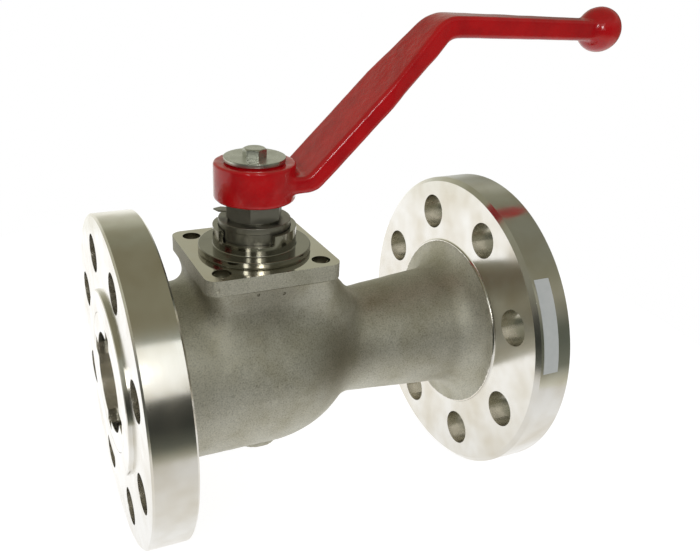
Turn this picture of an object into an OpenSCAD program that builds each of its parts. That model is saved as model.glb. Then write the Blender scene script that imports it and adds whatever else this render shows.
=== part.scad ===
// Flanged ball valve with a cast one-piece body, reduced bore and a cranked lever.
// Frame: the origin is the centre of the inlet raised face, +X runs along the pipe from
// inlet to outlet and +Z runs up along the stem. The lever lies along +X: valve open.

/* [Flanges] */
// Length from inlet raised face to outlet raised face
face_to_face = 216; // [200:1:240]
// Outside diameter of both flanges
flange_d = 165; // [160:1:180]
// Flange thickness, raised face included
flange_t = 22.4; // [19:0.2:26]
// Diameter of the raised gasket faces
raised_face_d = 92.1; // [88:0.1:98]
// Height of the raised gasket faces
raised_face_h = 2; // [1.6:0.1:3]
// Diameter of the flange bolt circle
bolt_circle_d = 127; // [122:0.5:132]
// Diameter of the flange bolt holes
bolt_hole_d = 19; // [16:0.5:21]
// Number of flange bolt holes
bolt_holes = 8; // [4:4:12]
// Edge break on the gasket side of the flanges
front_edge = 0.8; // [0.4:0.1:1.5]
// Chamfer on the back of the flanges
back_edge = 1.8; // [1:0.1:3]

/* [Flow path] */
// Bore of the two flanged ends
port_d = 50; // [48:0.5:52]
// Bore through the ball and the seats
bore_d = 38; // [34:0.5:40]
// Diameter of the ball
ball_d = 60; // [58:0.5:63]
// Distance from the inlet face to the stem axis
stem_x = 76; // [72:0.5:84]
// Straight length of each port
port_l = 20; // [12:1:24]
// Length of the cones between a port and the reduced bore
port_taper = 26; // [16:1:28]

/* [Cast body] */
// Outside diameter of the body around the ball
shell_d = 90; // [88:1:100]
// Radius of the rounded shoulder behind the ball
shoulder_r = 59.5; // [56:0.5:64]
// Radius of the hollow between shoulder and neck
throat_r = 16.5; // [12:0.5:20]
// Smallest neck diameter, at the throat
neck_d = 55.8; // [54:0.2:60]
// Growth of the neck radius for each millimetre along the pipe
neck_slope = 0.084; // [0.05:0.002:0.1]
// Radius of the flare that joins the neck to the outlet flange
flare_r = 13; // [8:0.5:16]
// Height of the round boss under the body
boss_h = 5; // [3:0.5:8]
// Diameter of the round boss under the body
boss_d = 25; // [20:0.5:30]

/* [Mounting pad] */
// Height of the pad's top face above the pipe axis
pad_z = 61.2; // [60:0.2:66]
// Side of the square pad
pad_w = 66; // [64:0.5:72]
// Thickness of the pad
pad_t = 7.6; // [6:0.2:9]
// Corner radius of the pad
pad_corner_r = 6; // [4:0.5:8]
// How far the column under the pad lies inside the pad's edge
pad_overhang = 2; // [1:0.5:4]
// Diameter of the pad's bolt circle
pad_circle_d = 70; // [68:0.5:72]
// Diameter of the pad's four holes
pad_hole_d = 9; // [7:0.5:10]
// Depth of the pad's blind bolt holes
pad_hole_l = 12; // [9:0.5:14]
// Diameter of the centring spigot on the pad
spigot_d = 55; // [54:0.5:58]
// Height of the centring spigot
spigot_h = 3.2; // [2:0.1:4]

/* [Stop hub] */
// Outside diameter of the hub on the spigot
hub_d = 40.6; // [40:0.2:44]
// Height of the hub above the spigot
hub_h = 4.6; // [3:0.2:6]
// Depth of the round recess in the hub
hub_recess = 3; // [2:0.2:4]
// Radial width of the hub's rim, which carries the two stop lugs
hub_rim = 2.7; // [2.2:0.1:3.2]
// Height of the stop collar above the hub's rim
collar_stand = 5.1; // [4:0.1:6]
// Angle of the stop tab at rest
tab_angle = 120; // [110:1:130]
// Angular width of the stop tab
tab_width = 30; // [20:1:34]
// Angle through which the lever turns from open to closed
travel = 90; // [86:1:92]
// First angle of the open stretch in front of the lugs
front_gap_start = 195; // [180:1:205]
// Last angle of the open stretch in front of the lugs
front_gap_end = 278; // [260:1:290]
// Free angle between the tab and a lug at either limit
stop_slack = 0.8; // [0.4:0.1:1.5]

/* [Seats and body insert] */
// Outside diameter of the seat rings
seat_d = 55; // [53:0.5:57]
// Seat material left between the ball and the seat's back face
seat_web = 2; // [1.5:0.1:3]
// Width of the flat lip around the seat's hollow face
seat_lip = 1.7; // [1:0.1:2.5]
// How far a seat stands out of its pocket
seat_stand = 1.5; // [0.5:0.1:2.5]
// Radial room around the ball in the body cavity
cavity_room = 2; // [1.5:0.1:3]
// Radial width of the ledge that the body gasket seals on
gasket_w = 2; // [1.5:0.1:3]
// Thickness of the body gasket
gasket_t = 1.5; // [1:0.1:2]
// Distance from the inlet face to the gasket ledge
gasket_x = 32; // [30:0.5:36]
// Cord diameter of the insert's O-ring
insert_ring_d = 2.6; // [2:0.1:3]
// Number of spanner slots in the insert's face
slots = 4; // [2:1:4]
// Width of a spanner slot
slot_w = 8.6; // [6:0.2:8.8]
// Depth of a spanner slot along the pipe
slot_depth = 5; // [3:0.5:7]
// Reach of a spanner slot outwards from the port
slot_reach = 6; // [3:0.5:8]
// Angle of the first spanner slot above the horizontal
slot_angle = 15; // [0:1:40]

/* [Stem and packing] */
// Diameter of the stem
stem_d = 18; // [16:0.2:18.4]
// Width across the two flats at the stem's top
flats_w = 14; // [12:0.2:15]
// Depth of the driving slot in the ball
drive_depth = 7; // [5:0.2:7.5]
// Width of the driving slot in the ball
drive_w = 11; // [8:0.2:12]
// Length of the tongue that drives the ball
tongue_l = 20; // [16:0.5:22]
// Diameter of the shoulder that keeps the stem in
shoulder_d = 25; // [23:0.5:27]
// Height of the shoulder that keeps the stem in
shoulder_h = 6; // [4:0.2:6.6]
// Room between the ball's crown and the stem's shoulder
crown_room = 1.5; // [0.8:0.1:2]
// Thickness of the thrust washer
thrust_t = 2; // [1:0.1:2.4]
// Length of the stem's bearing above the thrust washer
bearing_l = 6.5; // [5:0.1:8]
// Diameter of the packing chamber
packing_d = 28; // [27:0.2:29]
// Height of one packing ring
packing_h = 4; // [3:0.1:4.4]
// Thickness of one disc spring
disc_t = 1.2; // [0.8:0.1:1.4]
// Rise of one disc spring's cone
disc_rise = 0.8; // [0.4:0.1:0.9]
// Cord diameter of the stem's O-ring
stem_ring_d = 2.4; // [1.8:0.1:2.6]
// Diameter of the antistatic balls
static_ball_d = 3; // [2.4:0.1:3.2]
// Length of the antistatic springs
static_spring_l = 4; // [3:0.2:5]
// Diameter of the vent hole in the floor of the ball's slot
vent_d = 3; // [2:0.5:5]

/* [Gland] */
// Diameter of the pressure disc
disc_d = 35; // [34.4:0.1:36]
// Thickness of the pressure disc
disc_h = 3.2; // [2.4:0.1:4]
// Thickness of the tab washer
tab_t = 0.8; // [0.6:0.1:1.2]
// Height of the bent-up tab above the washer
tab_rise = 2.4; // [2:0.1:5]
// Reach of the tab from the stem axis
tab_reach = 20; // [18:0.5:23]
// Width of the tab
tab_w = 6; // [4:0.5:8]
// Width across flats of the gland nut
nut_af = 25; // [24:0.5:28]
// Height of the gland nut
nut_h = 9; // [8:0.2:11]
// Turn of the gland nut's flats from the pipe's direction
nut_turn = 3; // [0:1:30]

/* [Lever] */
// Diameter of the lever's hub
lever_hub_d = 39; // [36:0.5:42]
// Height of the lever's hub
lever_hub_h = 17; // [15:0.5:20]
// Height of the small boss under the top washer
lever_boss_h = 1; // [0.6:0.1:1.6]
// Width of the lever's inclined arm
arm_w = 30.4; // [26:0.2:32]
// Thickness of the lever's inclined arm
arm_t = 8.6; // [7:0.2:10]
// Height of the arm's middle above the hub's underside where it leaves the hub
arm_root_h = 7.8; // [7:0.2:9]
// Distance from the stem axis to the lower bend
lower_bend = 23.3; // [21:0.5:28]
// Distance from the stem axis to the upper bend
upper_bend = 93.7; // [85:0.5:100]
// Distance from the stem axis to the middle of the ball end
lever_reach = 191.8; // [170:1:220]
// Height of the upper bend above the arm's root
crank_rise = 68.8; // [60:0.5:75]
// Drop of the grip from the upper bend to the ball end
grip_drop = 4.5; // [2:0.5:8]
// Thickness of the grip
grip_t = 9.6; // [8:0.2:11]
// Length over which the arm narrows to the grip
arm_taper = 30; // [20:1:40]
// Width of the grip at the upper bend
grip_w = 19; // [16:0.5:24]
// Width of the grip at the ball end
grip_end_w = 13; // [11:0.5:16]
// Diameter of the ball end
grip_ball_d = 22.6; // [18:0.2:30]
// Middle radius of the lower bend
lower_bend_r = 10; // [7:0.5:14]
// Middle radius of the upper bend
upper_bend_r = 13; // [9:0.5:26]

/* [Fasteners] */
// Diameter of the washer on the lever
washer_d = 29.4; // [27:0.2:32]
// Thickness of the washer on the lever
washer_t = 2; // [1.5:0.1:3]
// Thread diameter of the lever bolt
bolt_d = 6; // [5:1:8]
// Length of the lever bolt under its head
bolt_l = 20; // [16:1:25]
// Width across flats of the lever bolt's head
bolt_af = 10; // [8:0.5:13]
// Height of the lever bolt's head
bolt_head_h = 4; // [3:0.5:5.5]

/* [Rim label] */
// Width of the blank label along the pipe
label_w = 8.6; // [6:0.2:10]
// Distance from the outlet flange's back face to the label
label_inset = 3.6; // [3:0.2:5]
// First angle of the label above the front of the rim
label_start = 6.5; // [0:0.5:15]
// Angle that the label covers on the rim
label_angle = 33; // [20:1:45]
// Thickness of the label
label_t = 0.2; // [0.1:0.1:0.4]

/* [Fits] */
// Radial gap between parts that turn against each other
running_fit = 0.05; // [0.03:0.01:0.08]
// Flat gap between parts that turn against each other
face_gap = 0.1; // [0.05:0.01:0.2]
// Gap between parts that are only assembled together
loose_fit = 0.1; // [0.05:0.01:0.2]
// Free gap around the stop collar
collar_gap = 0.3; // [0.2:0.05:0.4]

/* [Hidden] */
$fn = 96;
over = 1;           // how far a cutting shape runs past the face it opens
arc_steps = 14;     // strips in each rounded stretch of an outline
packing_count = 2;
spring_turns = 4;
seat_step = 0.5;    // how much wider the seats are bored than the ball
land_step = 1;      // step between the cavity and the insert's land
end_room = 0.5;     // free length behind the insert
collar_wall = 2.8;  // wall of the stop collar around the disc springs
follower_stand = 0.6;
stem_recess = 0.6;  // how far the stem ends below the lever's boss
tip_room = 2;       // depth of the stem's thread beyond the bolt's tip
nut_chamfer = 1.2;
wire_d = 0.6;       // wire of the antistatic springs
groove_room = 0.3;  // how much wider a groove is than its O-ring
outlet_ream = 0.5; // the outlet is drilled a little wider than the inlet
boss_margin = 0.9;  // how far the washer stands over the lever's small boss

// Radii
flange_r = flange_d / 2;
port_r = port_d / 2;
bore_r = bore_d / 2;
ball_r = ball_d / 2;
stem_r = stem_d / 2;
seat_r = seat_d / 2;
seat_bore_r = bore_r + seat_step;
shell_r = shell_d / 2;
neck_r = neck_d / 2;
hub_r = hub_d / 2;
recess_r = hub_r - hub_rim;
collar_r = recess_r - collar_gap;
packing_r = packing_d / 2;
disc_spring_r = collar_r - collar_wall;
tab_r = hub_r - collar_gap;

// Places along the pipe, from the stem axis
seat_lip_x = sqrt(pow(ball_r, 2) - pow(seat_r - seat_lip, 2));
seat_back_x = sqrt(pow(ball_r, 2) - pow(seat_bore_r, 2)) + seat_web;
pocket_x = seat_lip_x + seat_stand;

// Radii of the body's inlet side
cavity_r = ball_r + cavity_room;
land_r = cavity_r + land_step;
thread_r = land_r + gasket_w;
land_bore_r = land_r + loose_fit;
insert_l = stem_x - pocket_x;
insert_ring_x = (gasket_x + insert_l) / 2;

// Heights above the pipe axis
drive_floor_z = ball_r - drive_depth;
tongue_z = drive_floor_z + face_gap;
shoulder_z = ball_r + crown_room;
shoulder_top = shoulder_z + shoulder_h;
thrust_top = shoulder_top + thrust_t;
chamber_z = thrust_top + bearing_l;
packing_top = chamber_z + packing_h * (packing_count + 1);
spigot_top = pad_z + spigot_h;
hub_top = spigot_top + hub_h;
recess_z = hub_top - hub_recess;
follower_top = recess_z + follower_stand;
springs_z = follower_top + face_gap;
springs_top = springs_z + 2 * (disc_t + disc_rise);
collar_top = hub_top + collar_stand;
lug_top = collar_top - collar_gap;
disc_top = collar_top + disc_h;
nut_z = disc_top + tab_t;
lever_z = nut_z + nut_h;
boss_z = lever_z + lever_hub_h;
washer_z = boss_z + lever_boss_h;
stem_top = washer_z - stem_recess;
head_z = washer_z + washer_t;
flats_z = springs_top;
static_z = shoulder_z + shoulder_h / 2;
drive_static_z = (drive_floor_z + shoulder_z) / 2;
stem_ring_z = thrust_top + bearing_l / 2;
root_z = lever_z + arm_root_h;
crest_z = root_z + crank_rise;
grip_z = crest_z - grip_drop;

// Outline of the cast body: the throat's arc touches the shoulder's arc and the neck's line
outlet_back_x = face_to_face - flange_t;
neck_angle = atan(neck_slope);
shoulder_c = [stem_x, shell_r - shoulder_r];
throat_c_r = neck_r + throat_r * cos(neck_angle);
throat_c = [stem_x + sqrt(pow(shoulder_r + throat_r, 2) - pow(throat_c_r - shoulder_c[1], 2)),
            throat_c_r];
throat_dir = atan2(throat_c[1] - shoulder_c[1], throat_c[0] - shoulder_c[0]);
throat_end_x = throat_c[0] + throat_r * sin(neck_angle);
flare_c_x = outlet_back_x - flare_r;
flare_c = [flare_c_x, neck_at(flare_c_x) + flare_r / cos(neck_angle)];

// Middle line of the lever's arm in the plane of the pipe and the stem
low_corner = [lower_bend, root_z];
high_corner = [upper_bend, crest_z];
ball_end = [lever_reach, grip_z];
arm_angle = heading(low_corner, high_corner);
grip_angle = heading(high_corner, ball_end);
low_c = low_corner + [-lower_bend_r * tan(arm_angle / 2), lower_bend_r];
high_c = high_corner - upper_bend_r * tan((arm_angle - grip_angle) / 2) * unit(arm_angle)
       + upper_bend_r * unit(arm_angle - 90);

function unit(a) = [cos(a), sin(a)];
function heading(p, q) = atan2(q[1] - p[1], q[0] - p[0]);
function neck_at(x) = neck_r + neck_slope * (x - throat_end_x);
function arc(c, r, from, to) =
    [for (i = [0 : arc_steps]) c + r * unit(from + (to - from) * i / arc_steps)];
// An arc whose distance from the middle line grows from r0 to r1
function drift(c, r0, r1, from, to) =
    [for (i = [0 : arc_steps])
        c + (r0 + (r1 - r0) * i / arc_steps) * unit(from + (to - from) * i / arc_steps)];
function reversed(list) = [for (i = [len(list) - 1 : -1 : 0]) list[i]];
function swapped(list) = [for (p = list) [p[1], p[0]]];

body_outline = concat(
    [[0, 0], [0, raised_face_d / 2], [raised_face_h, raised_face_d / 2],
     [raised_face_h, flange_r - front_edge], [raised_face_h + front_edge, flange_r],
     [flange_t - back_edge, flange_r], [flange_t, flange_r - back_edge], [flange_t, shell_r]],
    arc(shoulder_c, shoulder_r, 90, throat_dir),
    arc(throat_c, throat_r, 180 + throat_dir, 270 + neck_angle),
    arc(flare_c, flare_r, 270 + neck_angle, 360),
    [[outlet_back_x, flange_r - back_edge], [outlet_back_x + back_edge, flange_r],
     [face_to_face - raised_face_h - front_edge, flange_r],
     [face_to_face - raised_face_h, flange_r - front_edge],
     [face_to_face - raised_face_h, raised_face_d / 2],
     [face_to_face, raised_face_d / 2], [face_to_face, 0]]);

function arm_edge(side) = concat(
    [[0, root_z + side * arm_t / 2]],
    arc(low_c, lower_bend_r - side * arm_t / 2, -90, arm_angle - 90),
    drift(high_c, upper_bend_r + side * arm_t / 2, upper_bend_r + side * grip_t / 2,
          arm_angle + 90, grip_angle + 90),
    [ball_end + side * grip_t / 2 * unit(grip_angle + 90)]);

// --- Shared shapes ---

// A solid of revolution around the pipe axis from an outline of [x, radius] points
module around_pipe(outline) rotate([0, 90, 0]) rotate_extrude() polygon(swapped(outline));

// A cylinder along the pipe axis from one x to another
module pipe_rod(r, from, to) translate([from, 0, 0]) rotate([0, 90, 0]) cylinder(r = r, h = to - from);

// A cone along the pipe axis
module pipe_cone(r0, r1, from, to)
    translate([from, 0, 0]) rotate([0, 90, 0]) cylinder(r1 = r0, r2 = r1, h = to - from);

// A cylinder along the stem axis from one height to another
module stem_rod(r, from, to) translate([stem_x, 0, from]) cylinder(r = r, h = to - from);

// A flat ring around the stem axis
module stem_ring(r_in, r_out, from, to) difference() {
    stem_rod(r_out, from, to);
    stem_rod(r_in, from - over, to + over);
}

// A stretch of a ring around the stem axis, from one angle to another
module stem_sector(r_in, r_out, from, to, start, end)
    translate([stem_x, 0, 0]) rotate([0, 0, start]) rotate_extrude(angle = end - start)
        translate([r_in, from]) square([r_out - r_in, to - from]);

// The stem's round section between its two flats, grown by a clearance
module flats_profile(grow) intersection() {
    circle(r = stem_r + grow);
    square([stem_d + 2 * grow + over, flats_w + 2 * grow], center = true);
}

module flats_hole(from, to)
    translate([stem_x, 0, from - over]) linear_extrude(to - from + 2 * over) flats_profile(loose_fit);

// A square with round corners
module round_square(w, r) {
    square([w - 2 * r, w], center = true);
    square([w, w - 2 * r], center = true);
    for (x = [-1, 1], y = [-1, 1]) translate([x, y] * (w / 2 - r)) circle(r = r);
}

// A hexagon prism whose corners are turned off at the top, and at the bottom if both is true
module hexagon(af, h, both) intersection() {
    cylinder(r = af / sqrt(3), h = h, $fn = 6);
    rotate_extrude() polygon([
        [0, 0], [af / sqrt(3) - (both ? nut_chamfer : 0), 0], [af / sqrt(3), both ? nut_chamfer / 2 : 0],
        [af / sqrt(3), h - nut_chamfer / 2], [af / sqrt(3) - nut_chamfer, h], [0, h]]);
}

module bolt_circle(count, circle_d, first)
    for (i = [0 : count - 1]) rotate([0, 0, first + 360 * i / count]) translate([circle_d / 2, 0, 0])
        children();

// The port, its cone and the reduced bore, opening at x = 0 and running along +X
module flow_bore(to) {
    pipe_rod(port_r, -over, port_l);
    pipe_cone(port_r, bore_r, port_l, port_l + port_taper);
    pipe_rod(bore_r, port_l + port_taper - over / 100, to);
}

// --- Body and its inlet side ---

module flange_holes(x, hole_d) translate([x - over, 0, 0]) rotate([0, 90, 0])
    bolt_circle(bolt_holes, bolt_circle_d, 180 / bolt_holes) cylinder(d = hole_d, h = flange_t + 2 * over);

module pad() {
    column_w = pad_w - 2 * pad_overhang;
    translate([stem_x, 0, 0]) {
        linear_extrude(pad_z - pad_t + over) round_square(column_w, pad_corner_r);
        translate([0, 0, pad_z - pad_t]) linear_extrude(pad_t) round_square(pad_w, pad_corner_r);
        cylinder(d = spigot_d, h = spigot_top);
        cylinder(r = hub_r, h = lug_top);
    }
}

// The gaps that part the hub's rim into two lugs: the tab swings in the one at the back
module lug_gaps() {
    after_tab = tab_angle + tab_width / 2 + stop_slack;
    before_tab = tab_angle - tab_width / 2 - travel - stop_slack;
    stem_sector(stem_r, hub_r + over, hub_top, lug_top + over, before_tab, after_tab);
    stem_sector(stem_r, hub_r + over, hub_top, lug_top + over, front_gap_start, front_gap_end);
}

module body_bores() {
    pipe_rod(thread_r, -over, gasket_x + gasket_t);
    pipe_rod(land_bore_r, 0, insert_l + end_room);
    pipe_rod(cavity_r, insert_l, stem_x + pocket_x);
    pipe_rod(seat_r + loose_fit, stem_x, stem_x + seat_back_x);
    translate([face_to_face, 0, 0]) mirror([1, 0, 0]) flow_bore(face_to_face - stem_x);
    stem_rod(shoulder_d / 2 + collar_gap, 0, thrust_top);
    stem_rod(stem_r + running_fit, 0, chamber_z + over);
    stem_rod(packing_r, chamber_z, recess_z + over);
    stem_rod(recess_r, recess_z, collar_top);
}

module body() color("#8f8c82") difference() {
    union() {
        around_pipe(body_outline);
        pad();
        stem_rod(boss_d / 2, -shell_r - boss_h, -shell_r + boss_h);
    }
    body_bores();
    lug_gaps();
    flange_holes(0, bolt_hole_d);
    flange_holes(outlet_back_x, bolt_hole_d + outlet_ream);
    translate([stem_x, 0, pad_z - pad_hole_l]) bolt_circle(4, pad_circle_d, 45)
        cylinder(d = pad_hole_d, h = pad_hole_l + over);
}

module body_insert() color("#c9c8c4") difference() {
    union() {
        pipe_rod(thread_r - loose_fit, 0, gasket_x);
        pipe_rod(land_r, 0, insert_l);
    }
    flow_bore(insert_l + over);
    pipe_rod(seat_r + loose_fit, stem_x - seat_back_x, insert_l + over);
    for (i = [0 : slots - 1]) rotate([slot_angle + 360 * i / slots, 0, 0])
        translate([-over, port_r - over, -slot_w / 2]) cube([slot_depth + over, slot_reach + over, slot_w]);
    ring_groove(land_bore_r, insert_ring_d, insert_ring_x, land_r);
}

// The groove for an O-ring that seals against a bore, cut around the pipe axis
module ring_groove(bore, cord, x, outer) difference() {
    pipe_rod(outer + over, x - cord / 2 - groove_room, x + cord / 2 + groove_room);
    pipe_rod(bore - cord - face_gap, x - cord, x + cord);
}

module body_gasket() color("#e8e6df") difference() {
    pipe_rod(thread_r - loose_fit, gasket_x, gasket_x + gasket_t);
    pipe_rod(land_bore_r, gasket_x - over, gasket_x + gasket_t + over);
}

module insert_o_ring() color("#1c1c1c") translate([insert_ring_x, 0, 0]) rotate([0, 90, 0])
    rotate_extrude() translate([land_bore_r - insert_ring_d / 2 - face_gap / 2, 0]) circle(d = insert_ring_d);

// A seat ring on the side of the ball that dir points to
module seat_ring(dir) translate([stem_x, 0, 0]) mirror([dir < 0 ? 1 : 0, 0, 0]) difference() {
    pipe_rod(seat_r, seat_lip_x, seat_back_x);
    pipe_rod(seat_bore_r, 0, seat_back_x + over);
    sphere(r = ball_r + running_fit);
}

module seat_ring_inlet() color("#f1efe6") seat_ring(-1);
module seat_ring_outlet() color("#f1efe6") seat_ring(1);

// --- Ball, stem and packing ---

module ball() color("#d8d9da") difference() {
    translate([stem_x, 0, 0]) sphere(r = ball_r);
    pipe_rod(bore_r, stem_x - ball_d, stem_x + ball_d);
    translate([stem_x - drive_w / 2, -ball_d, drive_floor_z]) cube([drive_w, 2 * ball_d, ball_d]);
    stem_rod(vent_d / 2, 0, ball_r);
}

// A hole along +X for an antistatic ball and its spring, from the face that the ball looks out of
module static_hole(face_x, z) translate([stem_x, 0, z])
    pipe_rod(static_ball_d / 2 + loose_fit, face_x - static_ball_d - static_spring_l, face_x + over);

module stem() color("#9b9c9c") difference() {
    union() {
        translate([stem_x - drive_w / 2 + loose_fit, -tongue_l / 2, tongue_z])
            cube([drive_w - 2 * loose_fit, tongue_l, shoulder_z - tongue_z + over]);
        stem_rod(shoulder_d / 2, shoulder_z, shoulder_top);
        stem_rod(stem_r, shoulder_z, flats_z);
        translate([stem_x, 0, flats_z - over]) linear_extrude(stem_top - flats_z + over) flats_profile(0);
    }
    stem_rod(bolt_d / 2 + loose_fit / 2, head_z - bolt_l - tip_room, stem_top + over);
    translate([stem_x, 0, stem_ring_z]) rotate_extrude()
        translate([stem_r + running_fit - stem_ring_d - face_gap, -stem_ring_d / 2 - groove_room])
            square([stem_ring_d + over, stem_ring_d + 2 * groove_room]);
    static_hole(shoulder_d / 2, static_z);
    static_hole(drive_w / 2, drive_static_z);
}

module stem_thrust_washer() color("#e9e7dd")
    stem_ring(stem_r + running_fit, shoulder_d / 2, shoulder_top + face_gap, thrust_top);

module stem_o_ring() color("#1c1c1c") translate([stem_x, 0, stem_ring_z]) rotate_extrude()
    translate([stem_r + running_fit - stem_ring_d / 2 - face_gap / 2, 0]) circle(d = stem_ring_d);

// Places a child where the two antistatic balls stand, against the body and against the slot's wall
module at_static_balls() {
    translate([stem_x + shoulder_d / 2 + collar_gap - static_ball_d / 2 - running_fit, 0, static_z])
        children();
    translate([stem_x + drive_w / 2 - static_ball_d / 2 - running_fit, 0, drive_static_z]) children();
}

module antistatic_balls() color("#c0c2c4") at_static_balls() sphere(d = static_ball_d);

module antistatic_springs() color("#a7a9ab") at_static_balls()
    translate([-static_ball_d / 2 - static_spring_l + collar_gap, 0, 0]) rotate([0, 90, 0])
        linear_extrude(static_spring_l - collar_gap, twist = 360 * spring_turns,
                       slices = 12 * spring_turns, $fn = 6)
            translate([static_ball_d / 2 - wire_d, 0]) circle(d = wire_d);

module packing_graphite_ring() color("#3a3a3c")
    stem_ring(stem_r + running_fit, packing_r, chamber_z, chamber_z + packing_h);

// Chevron rings: each has a ridge above that fits the hollow of the next
module packing_rings() color("#efece2") for (i = [1 : packing_count])
    translate([stem_x, 0, chamber_z + i * packing_h]) rotate_extrude() chevron();

module chevron() {
    inner = stem_r + running_fit;
    middle = (inner + packing_r) / 2;
    rise = packing_h / 5;
    polygon([[inner, 0], [middle, rise], [packing_r, 0],
             [packing_r, packing_h - rise], [middle, packing_h], [inner, packing_h - rise]]);
}

module gland_follower() color("#7d7e7c")
    stem_ring(stem_r + running_fit, packing_r - loose_fit, packing_top, follower_top);

module disc_springs() color("#6e7072") translate([stem_x, 0, springs_z]) rotate_extrude() {
    inner = stem_r + loose_fit;
    height = disc_t + disc_rise;
    polygon([[inner, 0], [disc_spring_r, disc_rise], [disc_spring_r, height], [inner, disc_t]]);
    translate([0, 2 * height]) mirror([0, 1])
        polygon([[inner, 0], [disc_spring_r, disc_rise], [disc_spring_r, height], [inner, disc_t]]);
}

// --- Gland ---

module stop_collar() color("#6b6a64") difference() {
    union() {
        stem_rod(collar_r, recess_z + collar_gap, collar_top);
        stem_sector(collar_r - over, tab_r, hub_top + collar_gap, lug_top,
                    tab_angle - tab_width / 2, tab_angle + tab_width / 2);
    }
    stem_rod(disc_spring_r + loose_fit, recess_z, springs_top);
    flats_hole(springs_top, collar_top);
}

module pressure_disc() color("#5c5b57") difference() {
    stem_rod(disc_d / 2, collar_top, disc_top);
    flats_hole(collar_top, disc_top);
}

// A thin washer with one tab that is bent up along a flat of the nut and then outwards
module tab_washer() color("#77766f") difference() {
    flat_r = nut_af / 2 + loose_fit;
    tab_angle_z = 150 + nut_turn;
    union() {
        stem_rod(nut_af / 2, disc_top, nut_z);
        translate([stem_x, 0, disc_top]) rotate([0, 0, tab_angle_z]) {
            translate([0, -tab_w / 2, 0]) cube([flat_r + tab_t, tab_w, tab_t]);
            translate([flat_r, -tab_w / 2, 0]) cube([tab_t, tab_w, tab_rise + tab_t]);
            translate([0, 0, tab_rise]) linear_extrude(tab_t) polygon([
                [flat_r, -tab_w / 2], [tab_reach - tab_w / 2, -tab_w / 2], [tab_reach, 0],
                [tab_reach - tab_w / 2, tab_w / 2], [flat_r, tab_w / 2]]);
        }
    }
    flats_hole(disc_top, nut_z);
}

module gland_nut() color("#4c4d49") difference() {
    translate([stem_x, 0, nut_z]) rotate([0, 0, nut_turn]) hexagon(nut_af, nut_h, true);
    stem_rod(stem_r + loose_fit, nut_z - over, lever_z + over);
}

// --- Lever ---

module lever_arm() translate([stem_x, 0, 0]) intersection() {
    translate([0, arm_w, 0]) rotate([90, 0, 0]) linear_extrude(2 * arm_w)
        polygon(concat(arm_edge(1), reversed(arm_edge(-1))));
    linear_extrude(crest_z + arm_w) polygon([
        [0, -arm_w / 2], [upper_bend - arm_taper, -arm_w / 2], [upper_bend, -grip_w / 2],
        [lever_reach, -grip_end_w / 2], [lever_reach, grip_end_w / 2], [upper_bend, grip_w / 2],
        [upper_bend - arm_taper, arm_w / 2], [0, arm_w / 2]]);
}

module lever() color("#b0141c") difference() {
    union() {
        stem_rod(lever_hub_d / 2, lever_z, boss_z);
        stem_rod(washer_d / 2 - boss_margin, boss_z - over, washer_z);
        lever_arm();
        translate([stem_x + lever_reach, 0, grip_z]) sphere(d = grip_ball_d);
    }
    flats_hole(lever_z, washer_z);
}

module lever_washer() color("#a9aba6") stem_ring(bolt_d / 2 + collar_gap, washer_d / 2, washer_z, head_z);

module lever_bolt() color("#8c8e88") {
    stem_rod(bolt_d / 2, head_z - bolt_l, head_z + over);
    translate([stem_x, 0, head_z]) hexagon(bolt_af, bolt_head_h, false);
}

// --- Label on the outlet flange's rim ---

module rim_label() color("#c9cbcb") rotate([0, 90, 0]) rotate([0, 0, 270 - label_start - label_angle])
    rotate_extrude(angle = label_angle)
        translate([flange_r, outlet_back_x + label_inset]) square([label_t, label_w]);

body();
body_insert();
body_gasket();
insert_o_ring();
seat_ring_inlet();
seat_ring_outlet();
ball();
stem();
stem_thrust_washer();
stem_o_ring();
antistatic_balls();
antistatic_springs();
packing_graphite_ring();
packing_rings();
gland_follower();
disc_springs();
stop_collar();
pressure_disc();
tab_washer();
gland_nut();
lever();
lever_washer();
lever_bolt();
rim_label();
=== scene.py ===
"""Visual model of a flanged ball valve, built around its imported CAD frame.

Sizes are in millimetres in the classes and become metres as the meshes are made. The pipe's axis is
X, with the inlet's raised face at x = 0, and the stem's axis is Z at x = 76.
"""

from __future__ import annotations

import logging
import math
from abc import ABC, abstractmethod
from dataclasses import dataclass, field
from enum import Enum
from typing import Callable, Sequence

import bpy
import numpy as np
from mathutils import Matrix, Vector


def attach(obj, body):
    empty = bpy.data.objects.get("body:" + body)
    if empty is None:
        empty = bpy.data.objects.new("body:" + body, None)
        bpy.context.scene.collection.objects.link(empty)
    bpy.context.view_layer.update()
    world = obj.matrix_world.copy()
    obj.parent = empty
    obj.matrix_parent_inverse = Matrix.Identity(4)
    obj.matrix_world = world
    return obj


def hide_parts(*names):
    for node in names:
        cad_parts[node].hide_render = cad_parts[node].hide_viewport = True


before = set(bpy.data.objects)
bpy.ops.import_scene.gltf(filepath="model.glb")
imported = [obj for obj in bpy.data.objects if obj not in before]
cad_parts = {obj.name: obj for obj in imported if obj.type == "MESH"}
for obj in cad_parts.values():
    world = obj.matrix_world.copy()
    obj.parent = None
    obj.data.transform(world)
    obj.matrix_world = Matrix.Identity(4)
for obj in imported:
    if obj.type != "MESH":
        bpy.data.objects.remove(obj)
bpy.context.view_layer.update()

LOG = logging.getLogger("ball_valve")
MM = 0.001
STEM_X = 76.0
ROUND_STEPS = 128
FLANGE_STEPS = 160
# Vertices closer than these, in millimetres, are one: on turned pieces and on copied CAD meshes.
TURNED_WELD = 0.004
COPIED_WELD = 0.002
# Edges flatter than this, in degrees, are shaded smooth on machined and on cast pieces.
MACHINED_SMOOTH = 48
CAST_SMOOTH = 40

Point = tuple[float, float]
Point3 = tuple[float, float, float]
Material = bpy.types.Material
Node = bpy.types.Node
Socket = bpy.types.NodeSocket
Tree = bpy.types.NodeTree
Object = bpy.types.Object
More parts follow.
